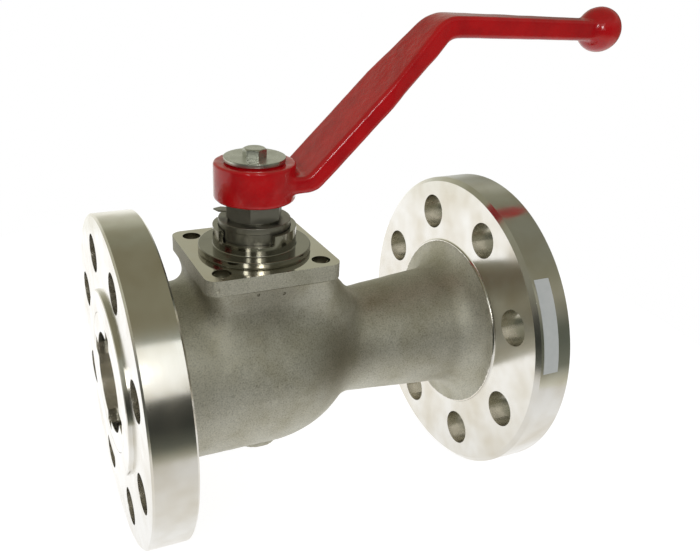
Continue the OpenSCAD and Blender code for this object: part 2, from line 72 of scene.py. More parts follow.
# Position and hex colour of a stop in a colour ramp.
Stop = tuple[float, str]
Settings = dict[str | int, object]
# A shader's values and the sockets that feed it.
Surface = tuple[Settings, dict[str, Socket]]


class Axis(Enum):
    """The two axes that the valve's round parts are turned about."""

    PIPE = "pipe"
    STEM = "stem"


# --- Colour and material helpers ---


def linear(hex_colour: str) -> tuple[float, float, float, float]:
    """Turn an sRGB hex colour into the linear colour that shaders take.

    Args:
        hex_colour: Six hex digits, with or without a leading #.

    Returns:
        Red, green, blue and an alpha of 1.
    """
    digits = hex_colour.lstrip("#")
    channels = [int(digits[i : i + 2], 16) / 255 for i in (0, 2, 4)]
    return (
        *(c / 12.92 if c <= 0.04045 else ((c + 0.055) / 1.055) ** 2.4 for c in channels),
        1.0,
    )


def add_node(
    tree: Tree,
    kind: str,
    settings: Settings | None = None,
    values: Settings | None = None,
    links: dict[str | int, Socket] | None = None,
    stops: Sequence[Stop] = (),
) -> Node:
    """Add one node with its settings, socket values, incoming links and colour stops.

    Args:
        tree: The node tree that takes the node.
        kind: Blender's type name of the node.
        settings: Properties of the node itself.
        values: Default values of its input sockets.
        links: Output sockets that feed its input sockets.
        stops: Position and hex colour of each stop of its colour ramp, in rising order.

    Returns:
        The new node.
    """
    node = tree.nodes.new(kind)
    for key, value in (settings or {}).items():
        setattr(node, key, value)
    for key, value in (values or {}).items():
        node.inputs[key].default_value = value
    for key, socket in (links or {}).items():
        tree.links.new(socket, node.inputs[key])
    if stops:
        elements = node.color_ramp.elements
        while len(elements) < len(stops):
            elements.new(1.0)
        for element, (position, colour) in zip(elements, stops):
            element.position = position
            element.color = linear(colour)
    return node


def noise_field(tree: Tree, size_mm: float, detail: float = 3.0, seed: float = 0.0) -> Socket:
    """Noise in object space whose lumps have a real size.

    Args:
        tree: The node tree.
        size_mm: Spacing of the lumps in millimetres.
        detail: Octaves of finer noise.
        seed: Offset that keeps two fields from repeating each other.

    Returns:
        The noise's factor socket.
    """
    mapping = add_node(
        tree,
        "ShaderNodeMapping",
        values={"Location": (seed, seed * 0.7, seed * 1.3)},
        links={"Vector": add_node(tree, "ShaderNodeTexCoord").outputs["Object"]},
    )
    return add_node(
        tree,
        "ShaderNodeTexNoise",
        values={"Scale": 1 / (size_mm * MM), "Detail": detail, "Roughness": 0.6},
        links={"Vector": mapping.outputs["Vector"]},
    ).outputs["Fac"]


def closeness(tree: Tree, centre: Point3, reach_mm: float) -> Socket:
    """A soft round patch in object space.

    Args:
        tree: The node tree.
        centre: The patch's middle in millimetres.
        reach_mm: Its radius in millimetres.

    Returns:
        A socket that is 1 in the middle and falls to 0 at the radius.
    """
    away = add_node(
        tree,
        "ShaderNodeVectorMath",
        settings={"operation": "DISTANCE"},
        values={1: tuple(v * MM for v in centre)},
        links={0: add_node(tree, "ShaderNodeTexCoord").outputs["Object"]},
    )
    return add_node(
        tree,
        "ShaderNodeMapRange",
        settings={"interpolation_type": "SMOOTHSTEP"},
        values={1: 0.0, 2: reach_mm * MM, 3: 1.0, 4: 0.0},
        links={0: away.outputs["Value"]},
    ).outputs[0]


def wear(tree: Tree, noise: Socket, low: float, high: float) -> Socket:
    """A roughness that follows a noise.

    Args:
        tree: The node tree.
        noise: The noise's socket.
        low: Roughness where the noise is low.
        high: Roughness where the noise is high.

    Returns:
        The roughness's socket.
    """
    return add_node(
        tree, "ShaderNodeMapRange", values={1: 0.3, 2: 0.7, 3: low, 4: high}, links={0: noise}
    ).outputs[0]


def relief(tree: Tree, *layers: tuple[Socket, float]) -> Socket:
    """Lay reliefs over one another.

    Args:
        tree: The node tree.
        layers: Height socket and depth in millimetres of each relief.

    Returns:
        The socket of the bumped normal.
    """
    chain: dict[str, Socket] = {}
    for height, depth_mm in layers:
        node = add_node(
            tree,
            "ShaderNodeBump",
            values={"Strength": 1.0, "Distance": depth_mm * MM},
            links={"Height": height} | chain,
        )
        chain = {"Normal": node.outputs["Normal"]}
    return chain["Normal"]


@dataclass(frozen=True)
class Finish(ABC):
    """A surface finish that a material is made from."""

    name: str

    @abstractmethod
    def surface(self, tree: Tree) -> Surface:
        """Add the finish's patterns.

        Args:
            tree: The material's node tree.

        Returns:
            The shader's values and the sockets that feed it.
        """

    def build(self) -> Material:
        """Make the material."""
        material = bpy.data.materials.new(self.name)
        material.use_nodes = True
        tree = material.node_tree
        tree.nodes.clear()
        values, links = self.surface(tree)
        shader = add_node(tree, "ShaderNodeBsdfPrincipled", values=values, links=links)
        add_node(tree, "ShaderNodeOutputMaterial", links={"Surface": shader.outputs["BSDF"]})
        return material


@dataclass(frozen=True)
class BlastedCasting(Finish):
    """Investment-cast stainless steel, shot-blasted: a matt, warm grey with a fine peened grain.

    Its dark patches each have a middle, a reach and a shade. They are partly real stain and partly
    painted light: the one at the shoulder is a stain deepened into a painted dark reflection, and
    the one under the pad's front edge is painted shade from the pad's overhang.
    """

    base: str = "#D3D0C1"
    dark: str = "#C6C2AF"
    light: str = "#DBD9CC"
    roughness: float = 0.6
    patch_mm: float = 20.0
    shot_mm: float = 0.7
    shot_depth_mm: float = 0.07
    dent_mm: float = 3.2
    dent_depth_mm: float = 0.15
    speckle: tuple[Stop, ...] = (
        (0.3, "#8C8C88"),
        (0.5, "#D6D6D4"),
        (0.64, "#EAEAE9"),
        (0.7, "#FFFFFF"),
    )
    speckle_share: float = 0.7
    # Dark patches as middle, reach and shade. The first, at the shoulder, is partly a real stain
    # and partly a painted dark reflection. The second is painted shade under the pad's front edge.
    stain_and_shade_patches: tuple[tuple[Point3, float, str], ...] = (
        ((112.0, -36.0, 8.0), 34.0, "#B9B5AA"),
        ((72.0, -40.0, 44.0), 32.0, "#C3C1BB"),
    )

    def surface(self, tree: Tree) -> Surface:
        """Add the patches, the peened grain, the dents, and the dark patches of stain and painted
        shade.

        Args:
            tree: The material's node tree.

        Returns:
            The shader's values and the sockets that feed it.
        """
        patches = noise_field(tree, self.patch_mm, 2.0)
        grain = noise_field(tree, self.shot_mm, 4.0, seed=3.1)
        dents = noise_field(tree, self.dent_mm, 3.0, seed=7.0)
        shades = ((0.3, self.dark), (0.5, self.base), (0.72, self.light))
        colour = add_node(tree, "ShaderNodeValToRGB", links={0: patches}, stops=shades).outputs[0]
        tints = [(grain, self.speckle, self.speckle_share)]
        # Multiply in the dark patches: real stain and painted shade.
        for centre, reach_mm, shade in self.stain_and_shade_patches:
            near = closeness(tree, centre, reach_mm)
            tints.append((near, ((0.0, "#FFFFFF"), (1.0, shade)), 1.0))
        for factor, stops, share in tints:
            tint = add_node(tree, "ShaderNodeValToRGB", links={0: factor}, stops=stops)
            colour = add_node(
                tree,
                "ShaderNodeMix",
                settings={"data_type": "RGBA", "blend_type": "MULTIPLY"},
                values={0: share},
                links={6: colour, 7: tint.outputs[0]},
            ).outputs[2]
        return {"Metallic": 1.0}, {
            "Base Color": colour,
            "Roughness": wear(tree, grain, self.roughness - 0.08, self.roughness + 0.1),
            "Normal": relief(tree, (dents, self.dent_depth_mm), (grain, self.shot_depth_mm)),
        }


@dataclass(frozen=True)
class TurnedSteel(Finish):
    """Stainless steel off the lathe: bright, with fine concentric tool marks.

    Real tool marks are about 0.2 mm apart, and are drawn wider so that they show.
    """

    base: str = "#E2E0DA"
    stain: str = "#CDC6B6"
    stain_mm: float = 22.0
    roughness: float = 0.15
    mark_mm: float = 0.8
    mark_depth_mm: float = 0.01
    axis: Axis = Axis.PIPE

    def surface(self, tree: Tree) -> Surface:
        """Add the tool marks around the axis and the faint stain clouds.

        Args:
            tree: The material's node tree.

        Returns:
            The shader's values and the sockets that feed it.
        """
        on_pipe = self.axis is Axis.PIPE
        mapping = add_node(
            tree,
            "ShaderNodeMapping",
            values={
                "Location": (0.0, 0.0, 0.0) if on_pipe else (-STEM_X * MM, 0.0, 0.0),
                "Rotation": (0.0, math.pi / 2, 0.0) if on_pipe else (0.0, 0.0, 0.0),
            },
            links={"Vector": add_node(tree, "ShaderNodeTexCoord").outputs["Object"]},
        )
        parts = add_node(tree, "ShaderNodeSeparateXYZ", links={0: mapping.outputs[0]}).outputs
        across = add_node(tree, "ShaderNodeCombineXYZ", links={"X": parts["X"], "Y": parts["Y"]})
        radius = add_node(
            tree,
            "ShaderNodeVectorMath",
            settings={"operation": "LENGTH"},
            links={0: across.outputs["Vector"]},
        ).outputs["Value"]
        marks = add_node(tree, "ShaderNodeCombineXYZ", links={"X": radius, "Z": parts["Z"]})
        grooves = add_node(
            tree,
            "ShaderNodeTexNoise",
            values={"Scale": 1 / (self.mark_mm * MM), "Detail": 2.0},
            links={"Vector": marks.outputs["Vector"]},
        ).outputs["Fac"]
        clouds = noise_field(tree, self.stain_mm, 2.0, seed=1.7)
        shades = ((0.35, self.base), (0.78, self.stain))
        colour = add_node(tree, "ShaderNodeValToRGB", links={0: clouds}, stops=shades)
        return {"Metallic": 1.0}, {
            "Base Color": colour.outputs[0],
            "Roughness": wear(tree, clouds, self.roughness - 0.04, self.roughness + 0.06),
            "Normal": relief(tree, (grooves, self.mark_depth_mm)),
        }


@dataclass(frozen=True)
class PlainMetal(Finish):
    """A small steel part, oiled or bare, with a faintly uneven sheen."""

    base: str
    roughness: float
    uneven_mm: float = 5.0
    grain_mm: float = 0.6
    grain_depth_mm: float = 0.01

    def surface(self, tree: Tree) -> Surface:
        """Add the uneven sheen and the grain.

        Args:
            tree: The material's node tree.

        Returns:
            The shader's values and the sockets that feed it.
        """
        clouds = noise_field(tree, self.uneven_mm, 4.0)
        grain = noise_field(tree, self.grain_mm, 2.0, seed=5.0)
        return {"Metallic": 1.0, "Base Color": linear(self.base)}, {
            "Roughness": wear(tree, clouds, self.roughness - 0.07, self.roughness + 0.1),
            "Normal": relief(tree, (grain, self.grain_depth_mm)),
        }


@dataclass(frozen=True)
class CastEnamel(Finish):
    """Gloss stoving enamel over a rough sand casting: its wet highlights follow the lumps below.

    The casting's skin is wrinkled around the arm's upper bend.
    """

    base: str = "#9F0A10"
    deep: str = "#90080F"
    shade_mm: float = 14.0
    ior: float = 1.5
    roughness: float = 0.13
    lump_mm: float = 7.0
    lump_depth_mm: float = 0.16
    wrinkle_mm: float = 4.5
    wrinkle_depth_mm: float = 0.4
    wrinkled_at: Point3 = (148.0, 0.0, 152.0)
    wrinkled_mm: float = 48.0
    peel_mm: float = 1.6
    peel_depth_mm: float = 0.03

    def surface(self, tree: Tree) -> Surface:
        """Add the faint shades, the casting's lumps and wrinkles, and the orange peel.

        Args:
            tree: The material's node tree.

        Returns:
            The shader's values and the sockets that feed it.
        """
        clouds = noise_field(tree, self.shade_mm)
        shades = ((0.35, self.deep), (0.6, self.base))
        colour = add_node(tree, "ShaderNodeValToRGB", links={0: clouds}, stops=shades)
        wrinkles = add_node(
            tree,
            "ShaderNodeMath",
            settings={"operation": "MULTIPLY"},
            links={
                0: noise_field(tree, self.wrinkle_mm, 4.0, seed=9.0),
                1: closeness(tree, self.wrinkled_at, self.wrinkled_mm),
            },
        ).outputs[0]
        normal = relief(
            tree,
            (noise_field(tree, self.lump_mm, seed=2.0), self.lump_depth_mm),
            (wrinkles, self.wrinkle_depth_mm),
            (noise_field(tree, self.peel_mm, 2.0, seed=4.0), self.peel_depth_mm),
        )
        values = {"IOR": self.ior, "Roughness": self.roughness}
        return values, {"Base Color": colour.outputs[0], "Normal": normal}


@dataclass(frozen=True)
class Moulded(Finish):
    """A non-metal such as PTFE, graphite, rubber or label film, with a faint mottle."""

    base: str
    second: str
    roughness: float
    grain_mm: float = 1.0
    grain_depth_mm: float = 0.02
    ior: float = 1.4

    def surface(self, tree: Tree) -> Surface:
        """Add the mottle and the grain.

        Args:
            tree: The material's node tree.

        Returns:
            The shader's values and the sockets that feed it.
        """
        grain = noise_field(tree, self.grain_mm)
        shades = ((0.35, self.base), (0.7, self.second))
        colour = add_node(tree, "ShaderNodeValToRGB", links={0: grain}, stops=shades)
        values = {"IOR": self.ior, "Roughness": self.roughness}
        normal = relief(tree, (grain, self.grain_depth_mm))
        return values, {"Base Color": colour.outputs[0], "Normal": normal}


def made(finish: Finish) -> Material:
    """A field that holds the finish's material, which each palette makes anew."""
    return field(default_factory=finish.build)


@dataclass
class Palette:
    """Every finish on the valve, made once."""

    casting: Material = made(BlastedCasting("shot_blasted_cast_stainless"))
    turned_pipe: Material = made(TurnedSteel("turned_stainless_flange"))
    # A lighter copy of the cast finish, without its dark patches. The pad's sides are painted
    # lighter than the rest of the casting, to stand in for the light that falls on them.
    pad_sides_painted_lighter: Material = made(
        BlastedCasting(
            "cast_stainless_pad_sides_painted_lighter", base="#D8D5C7", dark="#CCC9B9", light="#E0DDD0", stain_and_shade_patches=()
        )
    )
    milled: Material = made(
        TurnedSteel(
            "milled_stainless_pad",
            base="#CFCCC2",
            roughness=0.1,
            mark_depth_mm=0.0015,
            axis=Axis.STEM,
        )
    )
    turned_stem: Material = made(
        TurnedSteel(
            "turned_stainless_hub",
            base="#9A988E",
            stain="#8C8A7E",
            roughness=0.14,
            mark_depth_mm=0.004,
            axis=Axis.STEM,
        )
    )
    drilled: Material = made(PlainMetal("drilled_stainless_bore", "#D2CEC2", 0.24))
    polished: Material = made(PlainMetal("polished_stainless", "#DEDEDC", 0.12, 12.0))
    oiled: Material = made(PlainMetal("oiled_dark_steel", "#8C8A80", 0.34))
    blacked: Material = made(PlainMetal("blacked_nut_steel", "#8E8C83", 0.46))
    sheet: Material = made(PlainMetal("pressed_steel_sheet", "#8F8E84", 0.32))
    bolt: Material = made(PlainMetal("plain_stainless_bolt", "#BEC0B6", 0.3))
    spring: Material = made(PlainMetal("ground_spring_steel", "#84868A", 0.3))
    enamel: Material = made(CastEnamel("red_stoving_enamel"))
    ptfe: Material = made(Moulded("white_ptfe", "#EDEBE2", "#E2DFD4", 0.42))
    graphite: Material = made(Moulded("pressed_graphite", "#38383B", "#48484C", 0.5))
    rubber: Material = made(Moulded("black_nitrile_rubber", "#17171A", "#202023", 0.55))
    film: Material = made(Moulded("grey_polyester_film", "#A0A3A1", "#A6A8A6", 0.35, 4.0))


# --- Modelling steps ---


def deselect() -> None:
    """Leave edit mode and clear the selection."""
    if bpy.context.object and bpy.context.object.mode != "OBJECT":
        bpy.ops.object.mode_set(mode="OBJECT")
    bpy.ops.object.select_all(action="DESELECT")


def activate(piece: Object) -> None:
    """Select one piece alone and make it active.

    Args:
        piece: The piece to work on.
    """
    deselect()
    piece.select_set(True)
    bpy.context.view_layer.objects.active = piece


def modify(piece: Object, kind: str, settings: dict[str, object]) -> None:
    """Add a modifier with its settings and apply it.

    Args:
        piece: The piece to change.
        kind: Blender's type name of the modifier.
        settings: Properties of the modifier.
    """
    activate(piece)
    bpy.ops.object.modifier_add(type=kind)
    modifier = piece.modifiers[-1]
    for key, value in settings.items():
        setattr(modifier, key, value)
    bpy.ops.object.modifier_apply(modifier=modifier.name)


def place_in_mesh(piece: Object) -> None:
    """Move the piece's place, turn and scale into its mesh."""
    activate(piece)
    bpy.ops.object.transform_apply(location=True, rotation=True, scale=True)


def select_edges(piece: Object, chosen: Callable[[Vector, Vector], bool]) -> None:
    """Enter edit mode with only the chosen edges selected.

    Args:
        piece: The piece to edit.
        chosen: Tells from an edge's two ends, in metres, whether it is wanted.
    """
    activate(piece)
    bpy.ops.object.mode_set(mode="EDIT")
    bpy.ops.mesh.select_mode(type="EDGE")
    bpy.ops.mesh.select_all(action="DESELECT")
    bpy.ops.object.mode_set(mode="OBJECT")
    for edge in piece.data.edges:
        edge.select = chosen(*(piece.data.vertices[v].co for v in edge.vertices))
    bpy.ops.object.mode_set(mode="EDIT")


def outline_face(name: str, outline: Sequence[Point]) -> Object:
    """Draw a closed outline in the XZ plane and fill it.

    Args:
        name: Name of the new object.
        outline: Corners as (x, z) in millimetres.

    Returns:
        The object, still in edit mode with its one face selected.
    """
    deselect()
    bpy.ops.mesh.primitive_plane_add(size=MM, location=(0, 0, 0))
    piece = bpy.context.object
    piece.name = piece.data.name = name
    bpy.ops.object.mode_set(mode="EDIT")
    bpy.ops.mesh.select_all(action="SELECT")
    bpy.ops.mesh.merge(type="CENTER")
    x0, z0 = outline[0]
    bpy.ops.transform.translate(value=(x0 * MM, 0, z0 * MM))
    for (xa, za), (xb, zb) in zip(outline, outline[1:]):
        bpy.ops.mesh.extrude_region_move(
            TRANSFORM_OT_translate={"value": ((xb - xa) * MM, 0, (zb - za) * MM)}
        )
    bpy.ops.mesh.select_all(action="SELECT")
    bpy.ops.mesh.edge_face_add()
    return piece


def lathe(
    name: str,
    outline: Sequence[Point],
    axis: Axis,
    sweep: float = 360.0,
    start: float = 0.0,
    steps: int = ROUND_STEPS,
) -> Object:
    """Turn a closed outline about the pipe's or the stem's axis.

    Args:
        name: Name of the new piece.
        outline: Corners as (x, r) about the pipe, or (r, z) about the stem, in millimetres.
        axis: Which axis the outline turns about.
        sweep: Angle of the turn in degrees.
        start: Angle at which a part turn starts, from +X.
        steps: Number of steps in the turn.

    Returns:
        The closed piece.
    """
    direction = (1, 0, 0) if axis is Axis.PIPE else (0, 0, 1)
    piece = outline_face(name, outline)
    turn = -math.radians(sweep)
    if sweep == 360:
        turn = 2 * math.pi
        bpy.ops.mesh.delete(type="ONLY_FACE")
        bpy.ops.mesh.select_all(action="SELECT")
    bpy.ops.mesh.spin(steps=steps, angle=turn, center=(0, 0, 0), axis=direction)
    bpy.ops.mesh.select_all(action="SELECT")
    bpy.ops.mesh.remove_doubles(threshold=TURNED_WELD * MM)
    bpy.ops.mesh.normals_make_consistent(inside=False)
    bpy.ops.object.mode_set(mode="OBJECT")
    if start:
        piece.rotation_euler.z = math.radians(start)
    if axis is Axis.STEM:
        piece.location.x = STEM_X * MM
    place_in_mesh(piece)
    return piece


def rod(
    name: str, radius: float, start: Point3, length: float, axis: Axis, sides: int = 64
) -> Object:
    """Add a plain cylinder as a cutter or a blank.

    Args:
        name: Name of the new piece.
        radius: Its radius in millimetres.
        start: Centre of its first end in millimetres.
        length: Its length in millimetres.
        axis: The axis it runs along.
        sides: Number of its sides.

    Returns:
        The cylinder.
    """
    along = Vector((1, 0, 0)) if axis is Axis.PIPE else Vector((0, 0, 1))
    deselect()
    bpy.ops.mesh.primitive_cylinder_add(
        vertices=sides,
        radius=radius * MM,
        depth=length * MM,
        location=(Vector(start) + along * length / 2) * MM,
        rotation=(0, math.pi / 2, 0) if axis is Axis.PIPE else (0, 0, 0),
    )
    piece = bpy.context.object
    piece.name = piece.data.name = name
    place_in_mesh(piece)
    return piece


def join(pieces: Sequence[Object]) -> Object:
    """Join pieces into the first of them.

    Args:
        pieces: The pieces to join.

    Returns:
        The joined piece.
    """
    deselect()
    for piece in pieces:
        piece.select_set(True)
    bpy.context.view_layer.objects.active = pieces[0]
    bpy.ops.object.join()
    return bpy.context.object


def combine(piece: Object, tools: Sequence[Object], operation: str = "DIFFERENCE") -> None:
    """Cut tools from a piece, or intersect it with them, and delete the tools.

    Args:
        piece: The piece that stays.
        tools: Closed solids.
        operation: DIFFERENCE or INTERSECT.
    """
    for tool in tools:
        modify(piece, "BOOLEAN", {"operation": operation, "object": tool, "solver": "EXACT"})
        bpy.data.objects.remove(tool, do_unlink=True)


def smooth(piece: Object, angle: float) -> None:
    """Shade a piece smooth, apart from its sharp edges.

    Args:
        piece: The piece to shade.
        angle: Edges sharper than this, in degrees, stay sharp.
    """
    activate(piece)
    bpy.ops.object.shade_smooth_by_angle(angle=math.radians(angle))


def roughen(piece: Object, name: str, lump_mm: float, height_mm: float) -> None:
    """Give a cast piece the slight lumps of its mould.

    Args:
        piece: The piece to displace.
        name: Name of the lumps' texture.
        lump_mm: Size of the lumps in millimetres.
        height_mm: Height of the lumps in millimetres.
    """
    texture = bpy.data.textures.new(name, type="CLOUDS")
    texture.noise_scale = lump_mm * MM
    texture.noise_depth = 2
    settings = {"texture": texture, "texture_coords": "LOCAL", "strength": height_mm * MM}
    modify(piece, "DISPLACE", settings | {"mid_level": 0.5})


def break_edges(piece: Object, width: float, angle: float = 35.0) -> None:
    """Round the sharp edges a little and set clean shading.

    Args:
        piece: The piece to finish.
        width: Width of the rounding in millimetres.
        angle: Edges sharper than this, in degrees, are rounded.
    """
    modify(
        piece,
        "BEVEL",
        {
            "width": width * MM,
            "segments": 2,
            "limit_method": "ANGLE",
            "angle_limit": math.radians(angle),
            "miter_outer": "MITER_ARC",
        },
    )
    smooth(piece, MACHINED_SMOOTH)
    modify(piece, "WEIGHTED_NORMAL", {"keep_sharp": True, "weight": 60})


def dress(piece: Object, body: str, slot: str, *materials: Material) -> Object:
    """Give a piece its materials and its body.

    Args:
        piece: The finished piece.
        body: The CAD body that it moves with.
        slot: Name of a material slot; not used.
        materials: Its materials, in slot order.

    Returns:
        The same piece.
    """
    piece.data.materials.clear()
    for material in materials:
        piece.data.materials.append(material)
    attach(piece, body)
    LOG.info("%s: %d faces", piece.name, len(piece.data.polygons))
    return piece


def mark_bores(
    piece: Object, centres: Sequence[Point], radius: float, axis: Axis, index: int
) -> None:
    """Give the walls of round holes their own material.

    Args:
        piece: The drilled piece.
        centres: Centre of each hole, across its axis, in millimetres.
        radius: Radius of the holes in millimetres.
        axis: The axis that the holes run along.
        index: Index of the material for their walls.
    """
    first = 1 if axis is Axis.PIPE else 0
    along = 0 if axis is Axis.PIPE else 2
    for face in piece.data.polygons:
        if abs(face.normal[along]) > 0.3:
            continue
        at = (face.center[first] / MM, face.center[first + 1] / MM)
        if any(math.dist(at, centre) < radius + 0.2 for centre in centres):
            face.material_index = index


def pit(at: Point3, radius: float) -> Object:
    """Make a ball that cuts a small casting pit.

    Args:
        at: Its centre in millimetres.
        radius: Its radius in millimetres.

    Returns:
        The cutter.
    """
    deselect()
    bpy.ops.mesh.primitive_ico_sphere_add(
        subdivisions=3, radius=radius * MM, location=Vector(at) * MM
    )
    ball = bpy.context.object
    place_in_mesh(ball)
    return ball


def arc(centre: Point, radius: float, start: float, end: float, steps: int) -> list[Point]:
    """Points along an arc.

    Args:
        centre: Its centre.
        radius: Its radius.
        start: First angle in degrees.
        end: Last angle in degrees.
        steps: Number of strips.

    Returns:
        The points, ends included.
    """
    angles = np.radians(np.linspace(start, end, steps + 1))
    x, y = centre
    return [(x + radius * math.cos(a), y + radius * math.sin(a)) for a in angles]


def stepped(start: float, bores: Sequence[Point]) -> list[Point]:
    """Outline of round bores in a row.

    Args:
        start: Where the first bore starts along the axis.
        bores: Where each bore ends and its radius, in order.

    Returns:
        Corners as (place along the axis, radius).
    """
    corners = []
    for end, radius in bores:
        corners += [(start, radius), (end, radius)]
        start = end
    return corners


# --- Distance fields for the blended castings ---

Field = Callable[[np.ndarray], np.ndarray]


def distance_to_path(points: np.ndarray, path: np.ndarray) -> tuple[np.ndarray, np.ndarray]:
    """Distance from plane points to a path of straight strips.

    Args:
        points: N by 2 points.
        path: M by 2 corners of the path.

    Returns:
        For each point its distance and its side, which is 1 to the left and -1 to the right.
    """
    start, step = path[:-1], np.diff(path, axis=0)
    offset = points[:, None, :] - start[None]
    t = np.clip((offset * step[None]).sum(2) / (step**2).sum(1), 0, 1)
    gap = offset - t[..., None] * step[None]
    distance = np.sqrt((gap**2).sum(2))
    nearest = distance.argmin(1)
    row = np.arange(len(points))
    ahead, aside = step[nearest].T
    cross = ahead * offset[row, nearest, 1] - aside * offset[row, nearest, 0]
    return distance[row, nearest], np.sign(cross)


def rounded(across: np.ndarray, up: np.ndarray, radius: float | np.ndarray) -> np.ndarray:
    """Distance to a shape that two faces bound, with their corner rounded.

    Args:
        across: Distance to the first face, negative inside.
        up: Distance to the second face, negative inside.
        radius: Radius of the rounded corner.

    Returns:
        The distance, negative inside.
    """
    a, b = across + radius, up + radius
    outside = np.hypot(np.maximum(a, 0), np.maximum(b, 0))
    return outside + np.minimum(np.maximum(a, b), 0) - radius


def blend_union(a: np.ndarray, b: np.ndarray, radius: float | np.ndarray) -> np.ndarray:
    """Union of two distance fields with a fillet.

    Args:
        a: First field's values.
        b: Second field's values.
        radius: Size of the fillet in millimetres.

    Returns:
        The joined field's values.
    """
    h = np.maximum(radius - np.abs(a - b), 0) / radius
    return np.minimum(a, b) - h**2 * radius / 4


def settle(piece: Object, field_of: Field, rounds: int) -> None:
    """Move a remeshed piece's vertices onto the zero surface of a field.

    Args:
        piece: The piece, whose vertices lie near that surface.
        field_of: Gives the signed distance in millimetres of points in millimetres.
        rounds: Number of steps.
    """
    mesh = piece.data
    flat = np.empty(len(mesh.vertices) * 3)
    mesh.vertices.foreach_get("co", flat)
    points = flat.reshape(-1, 3) / MM
    probe, stride, least = 0.05, 1.5, 0.2
    for _ in range(rounds):
        value = field_of(points)
        slope = np.stack(
            [(field_of(points + probe * unit) - value) / probe for unit in np.eye(3)], axis=1
        )
        slope /= np.maximum((slope**2).sum(1, keepdims=True), least)
        points -= np.clip(value, -stride, stride)[:, None] * slope
    mesh.vertices.foreach_set("co", (points * MM).ravel())
    mesh.update()


def fuse(name: str, solids: Sequence[Object], voxel: float) -> Object:
    """Join closed solids and remesh them into one even skin.

    Args:
        name: Name of the new piece.
        solids: The closed solids, which may overlap.
        voxel: Edge of the skin's faces in millimetres.

    Returns:
        The skin.
    """
    piece = join(solids)
    piece.name = piece.data.name = name
    piece.data.remesh_voxel_size = voxel * MM
    bpy.ops.object.voxel_remesh()
    return piece


# --- The valve's sub-assemblies ---


